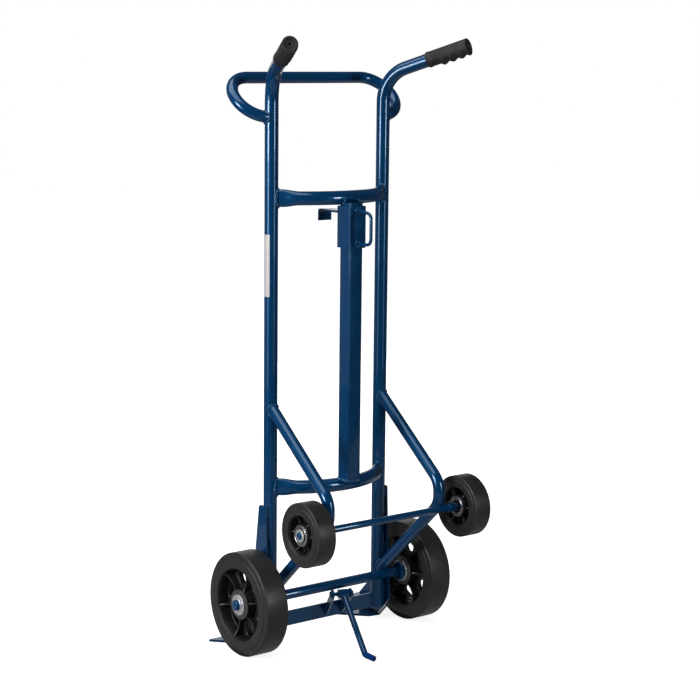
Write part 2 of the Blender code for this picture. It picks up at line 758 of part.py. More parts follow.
def stand_pin():
    centre, pin, load = stand_frame()
    left = EAR_LEFT_OFFSET - EAR_THICK / 2.0 - 0.004
    right = EAR_RIGHT_OFFSET + EAR_THICK / 2.0 + 0.004
    place = (Matrix.Translation(centre + pin * (left + right) / 2.0)
             @ pin.to_track_quat("Z", "Y").to_matrix().to_4x4())
    part = add_part("stand_pin", cylinder_mesh("stand_pin", STAND_PIN_R, right - left, 16),
                    ZINC, place)
    smooth(part)
    return part


def stand_leg(hinge):
    """Barrel on the pin with the bent rod leg that reaches the floor."""
    centre, pin, load = stand_frame()
    barrel = cylinder_mesh("stand_leg", STAND_BARREL_R, 2.0 * STAND_BARREL_HALF, 20)
    turn = pin.to_track_quat("Z", "Y").to_matrix().to_4x4()
    part = add_part("stand_leg", barrel, BLUE)
    part.parent = hinge
    part.matrix_local = turn
    bend = Vector(STAND_BEND)
    toe_end = Vector(STAND_TOE)
    first = centre + (bend - centre).normalized() * 0.006
    route = filleted([first, bend, toe_end], [0.016], 4)
    rod = rod_mesh("stand_rod", route, STAND_ROD_R, 12)
    boolean(part, add_cutter("stand_rod", rod), "UNION")
    bore = cylinder_mesh("stand_bore", around(STAND_PIN_R + 0.0002, 16), 0.06, 16)
    boolean(part, add_cutter("stand_bore", bore, Matrix.Translation(centre) @ turn))
    return part


def stand_bar_cutter():
    """Everything from the base bar's user face on towards the load."""
    face = UPRIGHT_Y - BASE_BAR_THICK / 2.0 - GAP
    mesh = box_mesh("stand_bar_space", (-0.10, face, 0.0), (0.14, face + 0.06, 0.20))
    return add_cutter("stand_bar_space", mesh)


# ---------------------------------------------------------------------- label
def label():
    """Plain white label wrapped on the outer side of the left upright."""
    low = UPRIGHT_R + GAP
    outer = arc_points((0.0, 0.0), low + LABEL_THICK, -math.degrees(LABEL_HALF_ANGLE),
                       math.degrees(LABEL_HALF_ANGLE), 8)
    inner = arc_points((0.0, 0.0), low, math.degrees(LABEL_HALF_ANGLE),
                       -math.degrees(LABEL_HALF_ANGLE), 8)
    mesh = plate_mesh("label", outer + inner, LABEL_TOP - LABEL_BOTTOM)
    middle = (LABEL_TOP + LABEL_BOTTOM) / 2.0
    return add_part("label", mesh, PAPER,
                    Matrix.Translation((-UPRIGHT_X, UPRIGHT_Y, middle))
                    @ Matrix.Rotation(math.pi, 4, "Z"))


# ---------------------------------------------------------------------- build
clear_scene()
PARTS = new_collection("drum_hand_truck")
CUTTERS = new_collection("cutters")
ROOT = bpy.data.objects.new("truck", None)
PARTS.objects.link(ROOT)
ROOT.location = (0.0, AXLE_Y, 0.0)

HINGE = bpy.data.objects.new("stand_hinge", None)
PARTS.objects.link(HINGE)
HINGE.parent = ROOT
HINGE.location = STAND_PIVOT
bpy.context.view_layer.update()

upright_spaces = [upright_cutter(side) for _, side in SIDES]
main_space = axle_cutter("main_axle_space", MAIN_AXLE_R, 0.0, MAIN_WHEEL_R)
rear_space = axle_cutter("rear_axle_space", REAR_AXLE_R, REAR_AXLE_Y, REAR_AXLE_Z)
bar_space = stand_bar_cutter()

MAIN_SIZES = (MAIN_WHEEL_R, MAIN_CORE_R, MAIN_OPENING_R, MAIN_WHEEL_FACE,
              MAIN_WHEEL_WIDTH, MAIN_HUB_R, MAIN_HUB_FACE, MAIN_BEARING_R, MAIN_AXLE_R,
              0.014, MAIN_SIDES, 0.006, 0.0180, 0.0645)
REAR_SIZES = (REAR_WHEEL_R, REAR_CORE_R, REAR_OPENING_R, REAR_WHEEL_FACE,
              REAR_WHEEL_WIDTH, REAR_HUB_R, REAR_HUB_FACE, REAR_BEARING_R, REAR_AXLE_R,
              0.013, REAR_SIDES, 0.004, 0.0045, 0.0350)

for side_name, sign in SIDES:
    upright(side_name, sign)
    grip(side_name, sign)
    brace(side_name, sign, [upright_spaces[0 if sign < 0 else 1], main_space, rear_space])
    upright_plate(side_name, sign, main_space)
    toe(side_name, sign)
    toe_ledge(side_name, sign)
    wheel("main", side_name, sign, 0.0, MAIN_WHEEL_R, MAIN_SIZES)
    wheel("rear", side_name, sign, REAR_AXLE_Y, REAR_AXLE_Z, REAR_SIZES)
    axle_hardware(side_name, sign)

top_loop(upright_spaces)
crossbar("upper_crossbar", CROSS_UPPER_Z, upright_spaces)
crossbar("lower_crossbar", CROSS_LOWER_Z, upright_spaces)
mast()
base_bar(upright_spaces)
axle("main_axle", MAIN_AXLE_R, MAIN_AXLE_END, 0.0, MAIN_WHEEL_R, 20)
axle("rear_axle", REAR_AXLE_R, REAR_AXLE_END, REAR_AXLE_Y, REAR_AXLE_Z, 20)
carriage_sleeve()
chime_hook()
carriage_pull()
stand_ear("stand_ear_left", EAR_LEFT_OFFSET, [bar_space, main_space])
stand_ear("stand_ear_right", EAR_RIGHT_OFFSET, [bar_space, main_space])
stand_pin()
stand_leg(HINGE)
label()
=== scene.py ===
"""Looks for the four-wheel drum hand truck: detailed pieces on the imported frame."""
import json
import math

import bmesh
import bpy
from mathutils import Matrix, Vector


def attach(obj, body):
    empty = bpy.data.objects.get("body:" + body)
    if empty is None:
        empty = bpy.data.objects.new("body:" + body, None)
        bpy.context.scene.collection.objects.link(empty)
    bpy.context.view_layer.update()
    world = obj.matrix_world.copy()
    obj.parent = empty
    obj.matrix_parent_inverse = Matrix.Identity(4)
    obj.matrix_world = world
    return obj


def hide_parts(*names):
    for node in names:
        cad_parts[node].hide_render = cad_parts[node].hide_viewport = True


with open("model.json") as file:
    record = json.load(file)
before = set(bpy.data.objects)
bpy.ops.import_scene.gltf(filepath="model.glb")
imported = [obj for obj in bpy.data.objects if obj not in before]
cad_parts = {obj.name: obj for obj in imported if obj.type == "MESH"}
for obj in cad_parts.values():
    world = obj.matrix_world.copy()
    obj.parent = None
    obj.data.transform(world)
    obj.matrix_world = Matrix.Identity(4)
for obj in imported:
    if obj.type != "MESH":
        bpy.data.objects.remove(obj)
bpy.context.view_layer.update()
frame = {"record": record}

JOINTS = {joint["name"]: joint for joint in frame["record"]["behaviour"]["joints"]}
MAIN_HUB = Vector(JOINTS["main_wheel_left_spin"]["pos_m"])
REAR_HUB = Vector(JOINTS["rear_wheel_left_spin"]["pos_m"])
STAND_PIVOT = Vector(JOINTS["stand_fold"]["pos_m"])
STAND_AXIS = Vector(JOINTS["stand_fold"]["axis"]).normalized()
Y0 = MAIN_HUB.y                      # the main axle's place along Y
SIDES = (("left", -1.0), ("right", 1.0))


# -------- materials
NOISE_LOW = 0.3                      # the stretch of a noise's range over which a
NOISE_HIGH = 0.7                     # colour or a roughness makes its whole change


def new_material(name, colour, roughness, metallic=0.0):
    material = bpy.data.materials.new(name)
    material.use_nodes = True
    shader = material.node_tree.nodes["Principled BSDF"]
    shader.inputs["Base Color"].default_value = (*colour, 1.0)
    shader.inputs["Roughness"].default_value = roughness
    shader.inputs["Metallic"].default_value = metallic
    return material, material.node_tree, shader


def position(tree):
    return tree.nodes.new("ShaderNodeTexCoord").outputs["Object"]


def noise(tree, vector, scale, detail=3.0, rough=0.5):
    node = tree.nodes.new("ShaderNodeTexNoise")
    node.inputs["Scale"].default_value = scale
    node.inputs["Detail"].default_value = detail
    node.inputs["Roughness"].default_value = rough
    tree.links.new(vector, node.inputs["Vector"])
    return node.outputs["Fac"]


def ramp(tree, value, low, high):
    node = tree.nodes.new("ShaderNodeValToRGB")
    node.color_ramp.elements[0].position = NOISE_LOW
    node.color_ramp.elements[0].color = (*low, 1.0)
    node.color_ramp.elements[1].position = NOISE_HIGH
    node.color_ramp.elements[1].color = (*high, 1.0)
    tree.links.new(value, node.inputs["Fac"])
    return node.outputs["Color"]


def spread(tree, value, low, high):
    node = tree.nodes.new("ShaderNodeMapRange")
    node.inputs["From Min"].default_value = NOISE_LOW
    node.inputs["From Max"].default_value = NOISE_HIGH
    node.inputs["To Min"].default_value = low
    node.inputs["To Max"].default_value = high
    tree.links.new(value, node.inputs["Value"])
    return node.outputs["Result"]


def bump(tree, shader, height, strength, distance, below=None):
    node = tree.nodes.new("ShaderNodeBump")
    node.inputs["Strength"].default_value = strength
    node.inputs["Distance"].default_value = distance
    tree.links.new(height, node.inputs["Height"])
    if below is not None:
        tree.links.new(below, node.inputs["Normal"])
    tree.links.new(node.outputs["Normal"], shader.inputs["Normal"])
    return node.outputs["Normal"]


def paint_material(name, dark, light, roughness=0.22, peel=0.006):
    """Glossy enamel over steel, with orange peel and slow colour drift."""
    material, tree, shader = new_material(name, dark, roughness)
    where = position(tree)
    drift = noise(tree, where, 7.0, 2.0)
    tree.links.new(ramp(tree, drift, dark, light), shader.inputs["Base Color"])
    tree.links.new(spread(tree, noise(tree, where, 28.0, 4.0), roughness - 0.05,
                          roughness + 0.08), shader.inputs["Roughness"])
    shader.inputs["Coat Weight"].default_value = 0.60
    shader.inputs["Coat Roughness"].default_value = 0.05
    shader.inputs["Specular IOR Level"].default_value = 0.45
    shader.inputs["Specular Tint"].default_value = (0.10, 0.50, 1.0, 1.0)
    wide = bump(tree, shader, noise(tree, where, 170.0, 2.0), peel, 0.0010)
    bump(tree, shader, noise(tree, where, 650.0, 2.0), peel * 0.7, 0.0004, wide)
    return material


def rubber_material(name, dark, light, roughness, grain, depth):
    material, tree, shader = new_material(name, dark, roughness)
    where = position(tree)
    tree.links.new(ramp(tree, noise(tree, where, 22.0, 6.0, 0.65), dark, light),
                   shader.inputs["Base Color"])
    tree.links.new(spread(tree, noise(tree, where, 45.0, 5.0, 0.6), roughness - 0.08,
                          roughness + 0.10), shader.inputs["Roughness"])
    shader.inputs["Specular IOR Level"].default_value = 0.42
    wide = bump(tree, shader, noise(tree, where, grain * 0.25, 3.0), 0.10, 0.0008)
    bump(tree, shader, noise(tree, where, grain, 2.0), depth, 0.0004, wide)
    return material


def steel_material(name, dark, light, roughness):
    """Plated or bare steel: metal with a faint spangle and a fine grain."""
    material, tree, shader = new_material(name, light, roughness, 1.0)
    where = position(tree)
    tree.links.new(ramp(tree, noise(tree, where, 55.0, 5.0, 0.6), dark, light),
                   shader.inputs["Base Color"])
    tree.links.new(spread(tree, noise(tree, where, 160.0, 4.0), roughness - 0.08,
                          roughness + 0.14), shader.inputs["Roughness"])
    bump(tree, shader, noise(tree, where, 900.0, 2.0), 0.10, 0.0002)
    return material


PAINT = paint_material("truck_blue_paint", (0.0006, 0.031, 0.096), (0.0010, 0.036, 0.110))
WELD = paint_material("truck_blue_weld", (0.0006, 0.034, 0.104), (0.0012, 0.042, 0.122),
                      0.33, 0.10)
TIP = paint_material("stand_tip_blue", (0.0015, 0.030, 0.150), (0.0022, 0.038, 0.185))
TYRE = rubber_material("tyre_rubber", (0.0105, 0.0105, 0.0110), (0.0190, 0.0190, 0.0195),
                       0.42, 900.0, 0.12)
GRIP = rubber_material("grip_rubber_black", (0.0075, 0.0075, 0.0075),
                       (0.0120, 0.0120, 0.0120), 0.62, 1500.0, 0.30)
CORE = rubber_material("core_black", (0.0070, 0.0070, 0.0075), (0.0120, 0.0120, 0.0125),
                       0.38, 700.0, 0.12)
SEAL = rubber_material("hub_ring_grey", (0.030, 0.029, 0.028), (0.055, 0.053, 0.050),
                       0.42, 800.0, 0.16)
ZINC = steel_material("zinc_plate", (0.66, 0.67, 0.69), (0.86, 0.87, 0.89), 0.40)
STEEL = steel_material("bearing_steel", (0.42, 0.42, 0.43), (0.60, 0.60, 0.61), 0.22)
LABEL, LABEL_TREE, LABEL_SHADER = new_material("label_film", (0.45, 0.45, 0.45), 0.36)
LABEL_SHADER.inputs["Coat Weight"].default_value = 0.25
LABEL_WHERE = position(LABEL_TREE)
LABEL_TREE.links.new(ramp(LABEL_TREE, noise(LABEL_TREE, LABEL_WHERE, 60.0),
                          (0.42, 0.42, 0.42), (0.47, 0.47, 0.47)),
                     LABEL_SHADER.inputs["Base Color"])
bump(LABEL_TREE, LABEL_SHADER, noise(LABEL_TREE, LABEL_WHERE, 90.0), 0.08, 0.0004)


# -------- mesh helpers
def finish_piece(name, bm, material, body, replaces=(), angle=38.0, bevel=0.0):
    """Turn a bmesh into a piece that rides on a body."""
    bmesh.ops.recalc_face_normals(bm, faces=bm.faces)
    mesh = bpy.data.meshes.new(name)
    bm.to_mesh(mesh)
    bm.free()
    piece = bpy.data.objects.new(name, mesh)
    bpy.context.scene.collection.objects.link(piece)
    mesh.materials.append(material)
    mesh.shade_smooth()
    mesh.set_sharp_from_angle(angle=math.radians(angle))
    if bevel > 0.0:
        edge = piece.modifiers.new("edge", "BEVEL")
        edge.width = bevel
        edge.segments = 3
        edge.limit_method = "ANGLE"
        edge.angle_limit = math.radians(35.0)
        edge.harden_normals = True
    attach(piece, body)
    if replaces:
        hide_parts(*replaces)
    return piece


def bridge(bm, a, b):
    """Faces between two closed loops of vertices."""
    for i in range(len(a)):
        j = (i + 1) % len(a)
        bm.faces.new((a[i], a[j], b[j], b[i]))


def join_rings(bm, rings, close_ends=True):
    """Skin a row of outlines, with a cap on each end if close_ends is set."""
    made = [[bm.verts.new(point) for point in ring] for ring in rings]
    for first, second in zip(made, made[1:]):
        bridge(bm, first, second)
    if close_ends:
        bm.faces.new(list(reversed(made[0])))
        bm.faces.new(made[-1])
    return made


def circle(centre, a, b, r, sides):
    """Points of a circle in the plane of the unit vectors a and b."""
    return [centre + a * (r * math.cos(2 * math.pi * k / sides))
            + b * (r * math.sin(2 * math.pi * k / sides)) for k in range(sides)]


def transported(points):
    """Frames (tangent, u, v) along a route without twist."""
    tangents = []
    for i in range(len(points)):
        before = points[max(i - 1, 0)]
        after = points[min(i + 1, len(points) - 1)]
        tangents.append((after - before).normalized())
    seed = Vector((0.0, 0.0, 1.0))
    if abs(tangents[0].dot(seed)) > 0.9:
        seed = Vector((1.0, 0.0, 0.0))
    u = (seed - tangents[0] * seed.dot(tangents[0])).normalized()
    frames = []
    for tangent in tangents:
        u = (u - tangent * u.dot(tangent)).normalized()
        frames.append((tangent, u, tangent.cross(u)))
    return frames


def sweep(bm, points, radius, sides=32, close_ends=True):
    """Round bar along points; radius is a number or a function of the index."""
    rings = []
    for i, (point, (_, u, v)) in enumerate(zip(points, transported(points))):
        r = radius(i) if callable(radius) else radius
        rings.append(circle(point, u, v, r, sides))
    return join_rings(bm, rings, close_ends)


def open_tube(bm, points, radius, wall, sides=32):
    """Hollow tube with open, square-cut ends."""
    outer = sweep(bm, points, radius, sides, False)
    inner = sweep(bm, points, radius - wall, sides, False)
    bridge(bm, outer[0], inner[0])
    bridge(bm, outer[-1], inner[-1])


def filleted(points, radii, steps):
    points = [Vector(p) for p in points]
    route = [points[0]]
    for before, corner, after, radius in zip(points, points[1:], points[2:], radii):
        to_before = (before - corner).normalized()
        to_after = (after - corner).normalized()
        half = to_before.angle(to_after) / 2.0
        centre = corner + (to_before + to_after).normalized() * radius / math.sin(half)
        tangent = radius / math.tan(half)
        first = corner + to_before * tangent - centre
        last = corner + to_after * tangent - centre
        turn = first.angle(last)
        for step in range(steps + 1):
            t = step / steps
            spoke = math.sin((1.0 - t) * turn) * first + math.sin(t * turn) * last
            route.append(centre + spoke / math.sin(turn))
    route.append(points[-1])
    return route


def rounded_profile(points, radius, steps=4):
    """A closed outline of (r, x) points whose corners are rounded."""
    flat = [Vector((p[0], p[1], 0.0)) for p in points]
    count = len(flat)
    result = []
    for i, corner in enumerate(flat):
        r = points[i][2] if len(points[i]) > 2 else radius
        if r <= 0.0:
            result.append((corner.x, corner.y))
            continue
        before = flat[i - 1]
        after = flat[(i + 1) % count]
        a = (before - corner).normalized()
        b = (after - corner).normalized()
        half = a.angle(b) / 2.0
        if half > math.radians(88.0):
            result.append((corner.x, corner.y))
            continue
        reach = min(r / math.tan(half), 0.45 * (before - corner).length,
                    0.45 * (after - corner).length)
        r = reach * math.tan(half)
        centre = corner + (a + b).normalized() * r / math.sin(half)
        first = corner + a * reach - centre
        last = corner + b * reach - centre
        turn = first.angle(last)
        for step in range(steps + 1):
            t = step / steps
            spoke = math.sin((1.0 - t) * turn) * first + math.sin(t * turn) * last
            point = centre + spoke / math.sin(turn)
            result.append((point.x, point.y))
    return result


def wheel_point(side, hub, r, x, angle):
    return Vector((side * x, hub.y + r * math.cos(angle), hub.z + r * math.sin(angle)))


def lathe(bm, profile, side, hub, segments):
    """Turn (radius, distance from the middle plane) points about an axle."""
    rings = []
    for k in range(segments):
        angle = 2.0 * math.pi * k / segments
        rings.append([bm.verts.new(wheel_point(side, hub, r, x, angle))
                      for r, x in profile])
    for k, ring in enumerate(rings):
        bridge(bm, ring, rings[(k + 1) % segments])


def box(bm, low, high):
    made = bmesh.ops.create_cube(bm, size=1.0)["verts"]
    size = [b - a for a, b in zip(low, high)]
    middle = [(a + b) / 2.0 for a, b in zip(low, high)]
    bmesh.ops.scale(bm, vec=size, verts=made)
    bmesh.ops.translate(bm, vec=middle, verts=made)


def resample(points, gap, closed=False):
    """Evenly spaced points along a polyline."""
    points = list(points)
    if closed:
        points.append(points[0])
    lengths = [0.0]
    for a, b in zip(points, points[1:]):
        lengths.append(lengths[-1] + (b - a).length)
    count = max(3, int(round(lengths[-1] / gap)))
    result = []
    at = 0
    for i in range(count + (0 if closed else 1)):
        want = lengths[-1] * i / count
        while at < len(points) - 2 and lengths[at + 1] < want:
            at += 1
        span = max(lengths[at + 1] - lengths[at], 1e-9)
        result.append(points[at].lerp(points[at + 1], (want - lengths[at]) / span))
    return result


BEAD_SIDES = 8
COPE_STEPS = 40


def bead(bm, points, radius=0.0030, closed=False, pitch=0.0034):
    """A weld bead: a low ripple like a row of small overlapping puddles."""
    route = resample(points, pitch / 4.0, closed)
    count = len(route)
    rings = []
    for i, point in enumerate(route):
        after = route[(i + 1) % count] if closed else route[min(i + 1, count - 1)]
        before = route[i - 1] if closed or i > 0 else route[0]
        tangent = (after - before).normalized()
        seed = Vector((0.31, 0.53, 0.79))
        u = (seed - tangent * seed.dot(tangent)).normalized()
        v = tangent.cross(u)
        wave = 1.0 + 0.13 * math.sin(2.0 * math.pi * i / 4.0) + 0.10 * math.sin(i * 0.37)
        end = 1.0 if closed else min(1.0, 0.35 + 0.25 * min(i, count - 1 - i))
        r = radius * wave * end
        rings.append(circle(point, u, v, r, BEAD_SIDES))
    if closed:
        made = [[bm.verts.new(p) for p in ring] for ring in rings]
        for i, ring in enumerate(made):
            bridge(bm, ring, made[(i + 1) % count])
    else:
        join_rings(bm, rings)


def cope_curve(start, direction, across, up, centre, radius):
    """Where a bar's outline, carried along direction, meets an upright."""
    points = []
    for k in range(COPE_STEPS):
        angle = 2.0 * math.pi * k / COPE_STEPS
        q = start + across * math.cos(angle) + up * math.sin(angle)
        px = q.x - centre[0]
        py = q.y - centre[1]
        a = direction.x ** 2 + direction.y ** 2
        b = 2.0 * (px * direction.x + py * direction.y)
        c = px * px + py * py - radius * radius
        inside = max(b * b - 4.0 * a * c, 0.0)
        t = (-b - math.sqrt(inside)) / (2.0 * a)
        points.append(q + direction * t)
    return points


# -------- dimensions
UP_X = 0.1685
UP_Y = Y0 + 0.0305
UP_R = 0.0167
UP_BOTTOM = 0.034
UP_WALL = 0.0026
GAP = 0.0003                         # left between pieces that are welded together
BEND_Z = 1.3944
HANDLE = (0.2638, Y0 - 0.1780, 1.4696)
GRIP_LENGTH = 0.1125
GRIP_FIRST_CREST = 0.0405
GRIP_CREST_PITCH = 0.0240
LOOP_R = 0.0144
CROSS_R = 0.0170
BRACE_R = 0.0143
UPPER_CROSS_Z = 1.1058
LOWER_CROSS_Z = 0.3990
MAST_Y = Y0 - 0.0655
MAST_HALF = 0.0200
SLEEVE_HALF = 0.0250
PULL_TOP = 1.0765
PULL_LOW = 0.9970
PULL_Y = Y0 - 0.1420
PLATE_INNER_X = 0.1855
PLATE_OUTER_X = 0.1905
TOE_THICK = 0.0060
BASE_BAR_HALF = 0.0030
CROSS_BOW_Y = Y0 - 0.0488
CROSS_BEND_R = 0.21579
STAND_ROD_R = 0.0076
STAND_BARREL_R = 0.0118
STAND_BARREL_HALF = 0.0140
EAR_LEFT = -0.0290
EAR_RIGHT = 0.0180
EAR_EYE_R = 0.0130
EAR_HALF = 0.0025
BOLT_R = 0.0050
BOLT_HEAD_R = 0.0080
MAIN_TYRE_R = 0.1270
MAIN_CORE_R = 0.0935
MAIN_OPENING_R = 0.0890
MAIN_FACE = 0.2860                   # how far out a wheel's outer face stands
MAIN_WIDTH = 0.0640
MAIN_WINDOW = (0.0470, 0.0820, math.radians(19.0))     # near and far radius, half angle
MAIN_SPOKE_PHASE = {"left": math.radians(-15.0), "right": 0.0}
REAR_TYRE_R = 0.0762
REAR_CORE_R = 0.0512
REAR_OPENING_R = 0.0482
REAR_FACE = 0.2629
REAR_WIDTH = 0.0508
REAR_WINDOW = (0.0320, 0.0425, math.radians(14.0))
REAR_SPOKE_PHASE = 0.0
RING_SEGMENTS = 56

welds = bmesh.new()
carriage_welds = bmesh.new()
stand_welds = bmesh.new()


# -------- frame
def handle_frame(side):
    corner = Vector((side * UP_X, UP_Y, BEND_Z))
    end = Vector((side * HANDLE[0], HANDLE[1], HANDLE[2]))
    return corner, end, (end - corner).normalized()


def make_upright(label, side):
    corner, end, direction = handle_frame(side)
    route = filleted([(side * UP_X, UP_Y, UP_BOTTOM), corner, end - direction * 0.0055],
                     [0.087], 22)
    bm = bmesh.new()
    open_tube(bm, route, UP_R, UP_WALL, 40)
    finish_piece("upright_tube_" + label, bm, PAINT, "frame",
                 ["upright_" + label])


def grip_drop(s):
    """How far the finger crests stand out below the grip at distance s."""
    start = GRIP_FIRST_CREST - GRIP_CREST_PITCH / 2.0
    rise = min(1.0, max(0.0, (s - start) / 0.006))
    turn = 2.0 * math.pi * (s - GRIP_FIRST_CREST) / GRIP_CREST_PITCH
    return rise * (0.0006 + 0.0050 * (0.5 + 0.5 * math.cos(turn)) ** 0.9)


def make_grip(label, side):
    _, end, direction = handle_frame(side)
    down = Vector((0.0, 0.0, -1.0))
    below = (down - direction * down.dot(direction)).normalized()
    across = direction.cross(below).normalized()
    start = end - direction * GRIP_LENGTH
    sides = 56
    stations = [(0.0, 0.0174), (0.0, 0.0192), (0.0008, 0.0198), (0.0055, 0.0198),
                (0.0062, 0.0194), (0.0070, 0.0190)]
    stations += [(0.0070 + 0.0016 * i, 0.0190) for i in range(1, 64)]
    back = [(0.0026, 0.0191), (0.0012, 0.0189), (0.0004, 0.0182), (0.0, 0.0170),
            (0.0, 0.0134), (0.0010, 0.0122), (0.0026, 0.0116), (0.0026, 0.0048),
            (0.0036, 0.0038), (0.0066, 0.0036), (0.0066, 0.0010)]
    stations += [(GRIP_LENGTH - s, r) for s, r in back]
    rings = []
    for s, r in stations:
        ring = []
        for k in range(sides):
            angle = 2.0 * math.pi * k / sides
            keel = max(0.0, math.cos(angle)) ** 2.2
            extra = grip_drop(s) * keel if r > 0.0165 else 0.0
            if s > GRIP_LENGTH - 0.003:
                extra *= 1.0 - 0.45 * (s - GRIP_LENGTH + 0.003) / 0.003
            ring.append(start + direction * s + (below * math.cos(angle)
                                                 + across * math.sin(angle)) * (r + extra))
        rings.append(ring)
    bm = bmesh.new()
    made = join_rings(bm, rings, False)
    bm.faces.new(made[-1])
    finish_piece("grip_sleeve_" + label, bm, GRIP, "frame",
                 ["grip_" + label], 50.0)


def make_top_loop():
    root = Vector((0.1712, UP_Y + 0.0039, 1.2978))
    bar = Vector((0.1712, Y0 + 0.1325, 1.3888))
    centre = (root + bar) / 2.0
    spoke = (root - bar) / 2.0
    radius = spoke.length
    turn = [centre + spoke * math.cos(math.pi * i / 30)
            + Vector((radius * math.sin(math.pi * i / 30), 0.0, 0.0)) for i in range(31)]
    right = [root - Vector((0.004, 0.0, 0.0))] + turn
    left = [Vector((-p.x, p.y, p.z)) for p in reversed(right)]
    bm = bmesh.new()
    sweep(bm, right + left, LOOP_R, 36)
    finish_piece("top_loop_tube", bm, PAINT, "frame", ["top_loop"])
    for side in (-1.0, 1.0):
        points = cope_curve(Vector((side * 0.24, root.y, root.z)),
                            Vector((-side, 0.0, 0.0)), Vector((0.0, LOOP_R, 0.0)),
                            Vector((0.0, 0.0, LOOP_R)), (side * UP_X, UP_Y), UP_R)
        bead(welds, points, 0.0030, True)


def crossbar_ring(angle, reach, height, sides):
    """One outline of a crossbar, pressed thin and tall near the uprights."""
    centre = Vector((CROSS_BEND_R * math.sin(angle),
                     CROSS_BOW_Y + CROSS_BEND_R * (1.0 - math.cos(angle)), height))
    outward = Vector((-math.sin(angle), math.cos(angle), 0.0))
    from_end = CROSS_BEND_R * (reach - abs(angle))
    press = max(0.0, min(1.0, 1.35 - from_end / 0.040))
    press = press * press * (3.0 - 2.0 * press)
    tall = CROSS_R + 0.0044 * press
    thin = CROSS_R - 0.0085 * press
    power = 1.0 - 0.25 * press
    ring = []
    for k in range(sides):
        t = 2.0 * math.pi * k / sides
        c = math.copysign(abs(math.cos(t)) ** power, math.cos(t))
        s = math.copysign(abs(math.sin(t)) ** power, math.sin(t))
        ring.append(centre + outward * (thin * c) + Vector((0.0, 0.0, tall * s)))
    return ring


def make_crossbar(name, height):
    reach = math.asin((UP_X - 0.010) / CROSS_BEND_R)
    rings = []
    for i in range(61):
        rings.append(crossbar_ring(reach * (i / 30.0 - 1.0), reach, height, 40))
    bm = bmesh.new()
    join_rings(bm, rings)
    finish_piece(name + "_tube", bm, PAINT, "frame", [name], 60.0)
    for side in (-1.0, 1.0):
        tangent = Vector((side * math.cos(reach), math.sin(reach), 0.0)).normalized()
        across = Vector((-tangent.y, tangent.x, 0.0))
        points = cope_curve(Vector((side * UP_X, UP_Y, height)) - tangent * 0.060
                            + Vector((0.0, -0.001, 0.0)),
                            tangent, across * 0.0088, Vector((0.0, 0.0, 0.0216)),
                            (side * UP_X, UP_Y), UP_R)
        bead(welds, points, 0.0034, True)


def make_brace(label, side):
    route = filleted(
        [(side * UP_X, UP_Y - 0.008, 0.5936), (side * UP_X, Y0 - 0.2099, 0.4116),
         (side * UP_X, Y0 - 0.2099, 0.3551), (side * UP_X, UP_Y - 0.0080, 0.1358)],
        [0.053, 0.053], 14)
    bm = bmesh.new()
    sweep(bm, route, BRACE_R, 36)
    finish_piece("brace_tube_" + label, bm, PAINT, "frame",
                 ["brace_" + label])
    for end, inner in ((route[0], route[1]), (route[-1], route[-2])):
        direction = (end - inner).normalized()
        up = direction.cross(Vector((1.0, 0.0, 0.0))).normalized() * BRACE_R
        points = cope_curve(end - direction * 0.10, direction,
                            Vector((BRACE_R, 0.0, 0.0)), up, (side * UP_X, UP_Y), UP_R)
        bead(welds, points, 0.0031, True)


def square_tube(bm, half, corner, low, high, centre_y, wall):
    """Square tube with rounded corners and open ends."""
    def outline(reach, radius, height):
        points = []
        for cx, cy, first in ((1, 1, 0), (-1, 1, 90), (-1, -1, 180), (1, -1, 270)):
            for step in range(7):
                angle = math.radians(first + 90.0 * step / 6.0)
                points.append(Vector((cx * (reach - radius) + radius * math.cos(angle),
                                      centre_y + cy * (reach - radius)
                                      + radius * math.sin(angle), height)))
        return points
    outer = join_rings(bm, [outline(half, corner, low), outline(half, corner, high)], False)
    inner = join_rings(bm, [outline(half - wall, corner * 0.5, low),
                            outline(half - wall, corner * 0.5, high)], False)
    for a, b in zip(outer, inner):
        bridge(bm, a, b)


def make_mast():
    bm = bmesh.new()
    square_tube(bm, MAST_HALF, corner=0.0036, low=0.4165, high=1.0958, centre_y=MAST_Y,
                wall=0.003)
    finish_piece("mast_tube", bm, PAINT, "frame", ["mast"])
    for low_y, z in ((MAST_Y - MAST_HALF, 0.4130), (MAST_Y + MAST_HALF, 0.4160)):
        points = [Vector((x, low_y, z)) for x in (-0.019, 0.0, 0.019)]
        bead(welds, points, 0.0036)
    for side in (-1.0, 1.0):
        points = [Vector((side * MAST_HALF, MAST_Y + y, 0.4140))
                  for y in (-0.019, 0.0, 0.019)]
        bead(welds, points, 0.0036)
        arc = [Vector((side * MAST_HALF, CROSS_BOW_Y + 0.0176 * math.cos(math.radians(a)),
                       UPPER_CROSS_Z + 0.0176 * math.sin(math.radians(a))))
               for a in range(185, 276, 6)]
        bead(welds, arc, 0.0026)


def extrude_outline(bm, outline, x_low, x_high):
    """A plate in a plane of constant X, from (y, z) points."""
    join_rings(bm, [[Vector((x_low, y, z)) for y, z in outline],
                    [Vector((x_high, y, z)) for y, z in outline]])


def arc2(cy, cz, r, start, end, steps=8):
    return [(cy + r * math.cos(math.radians(start + (end - start) * i / steps)),
             cz + r * math.sin(math.radians(start + (end - start) * i / steps)))
            for i in range(steps + 1)]


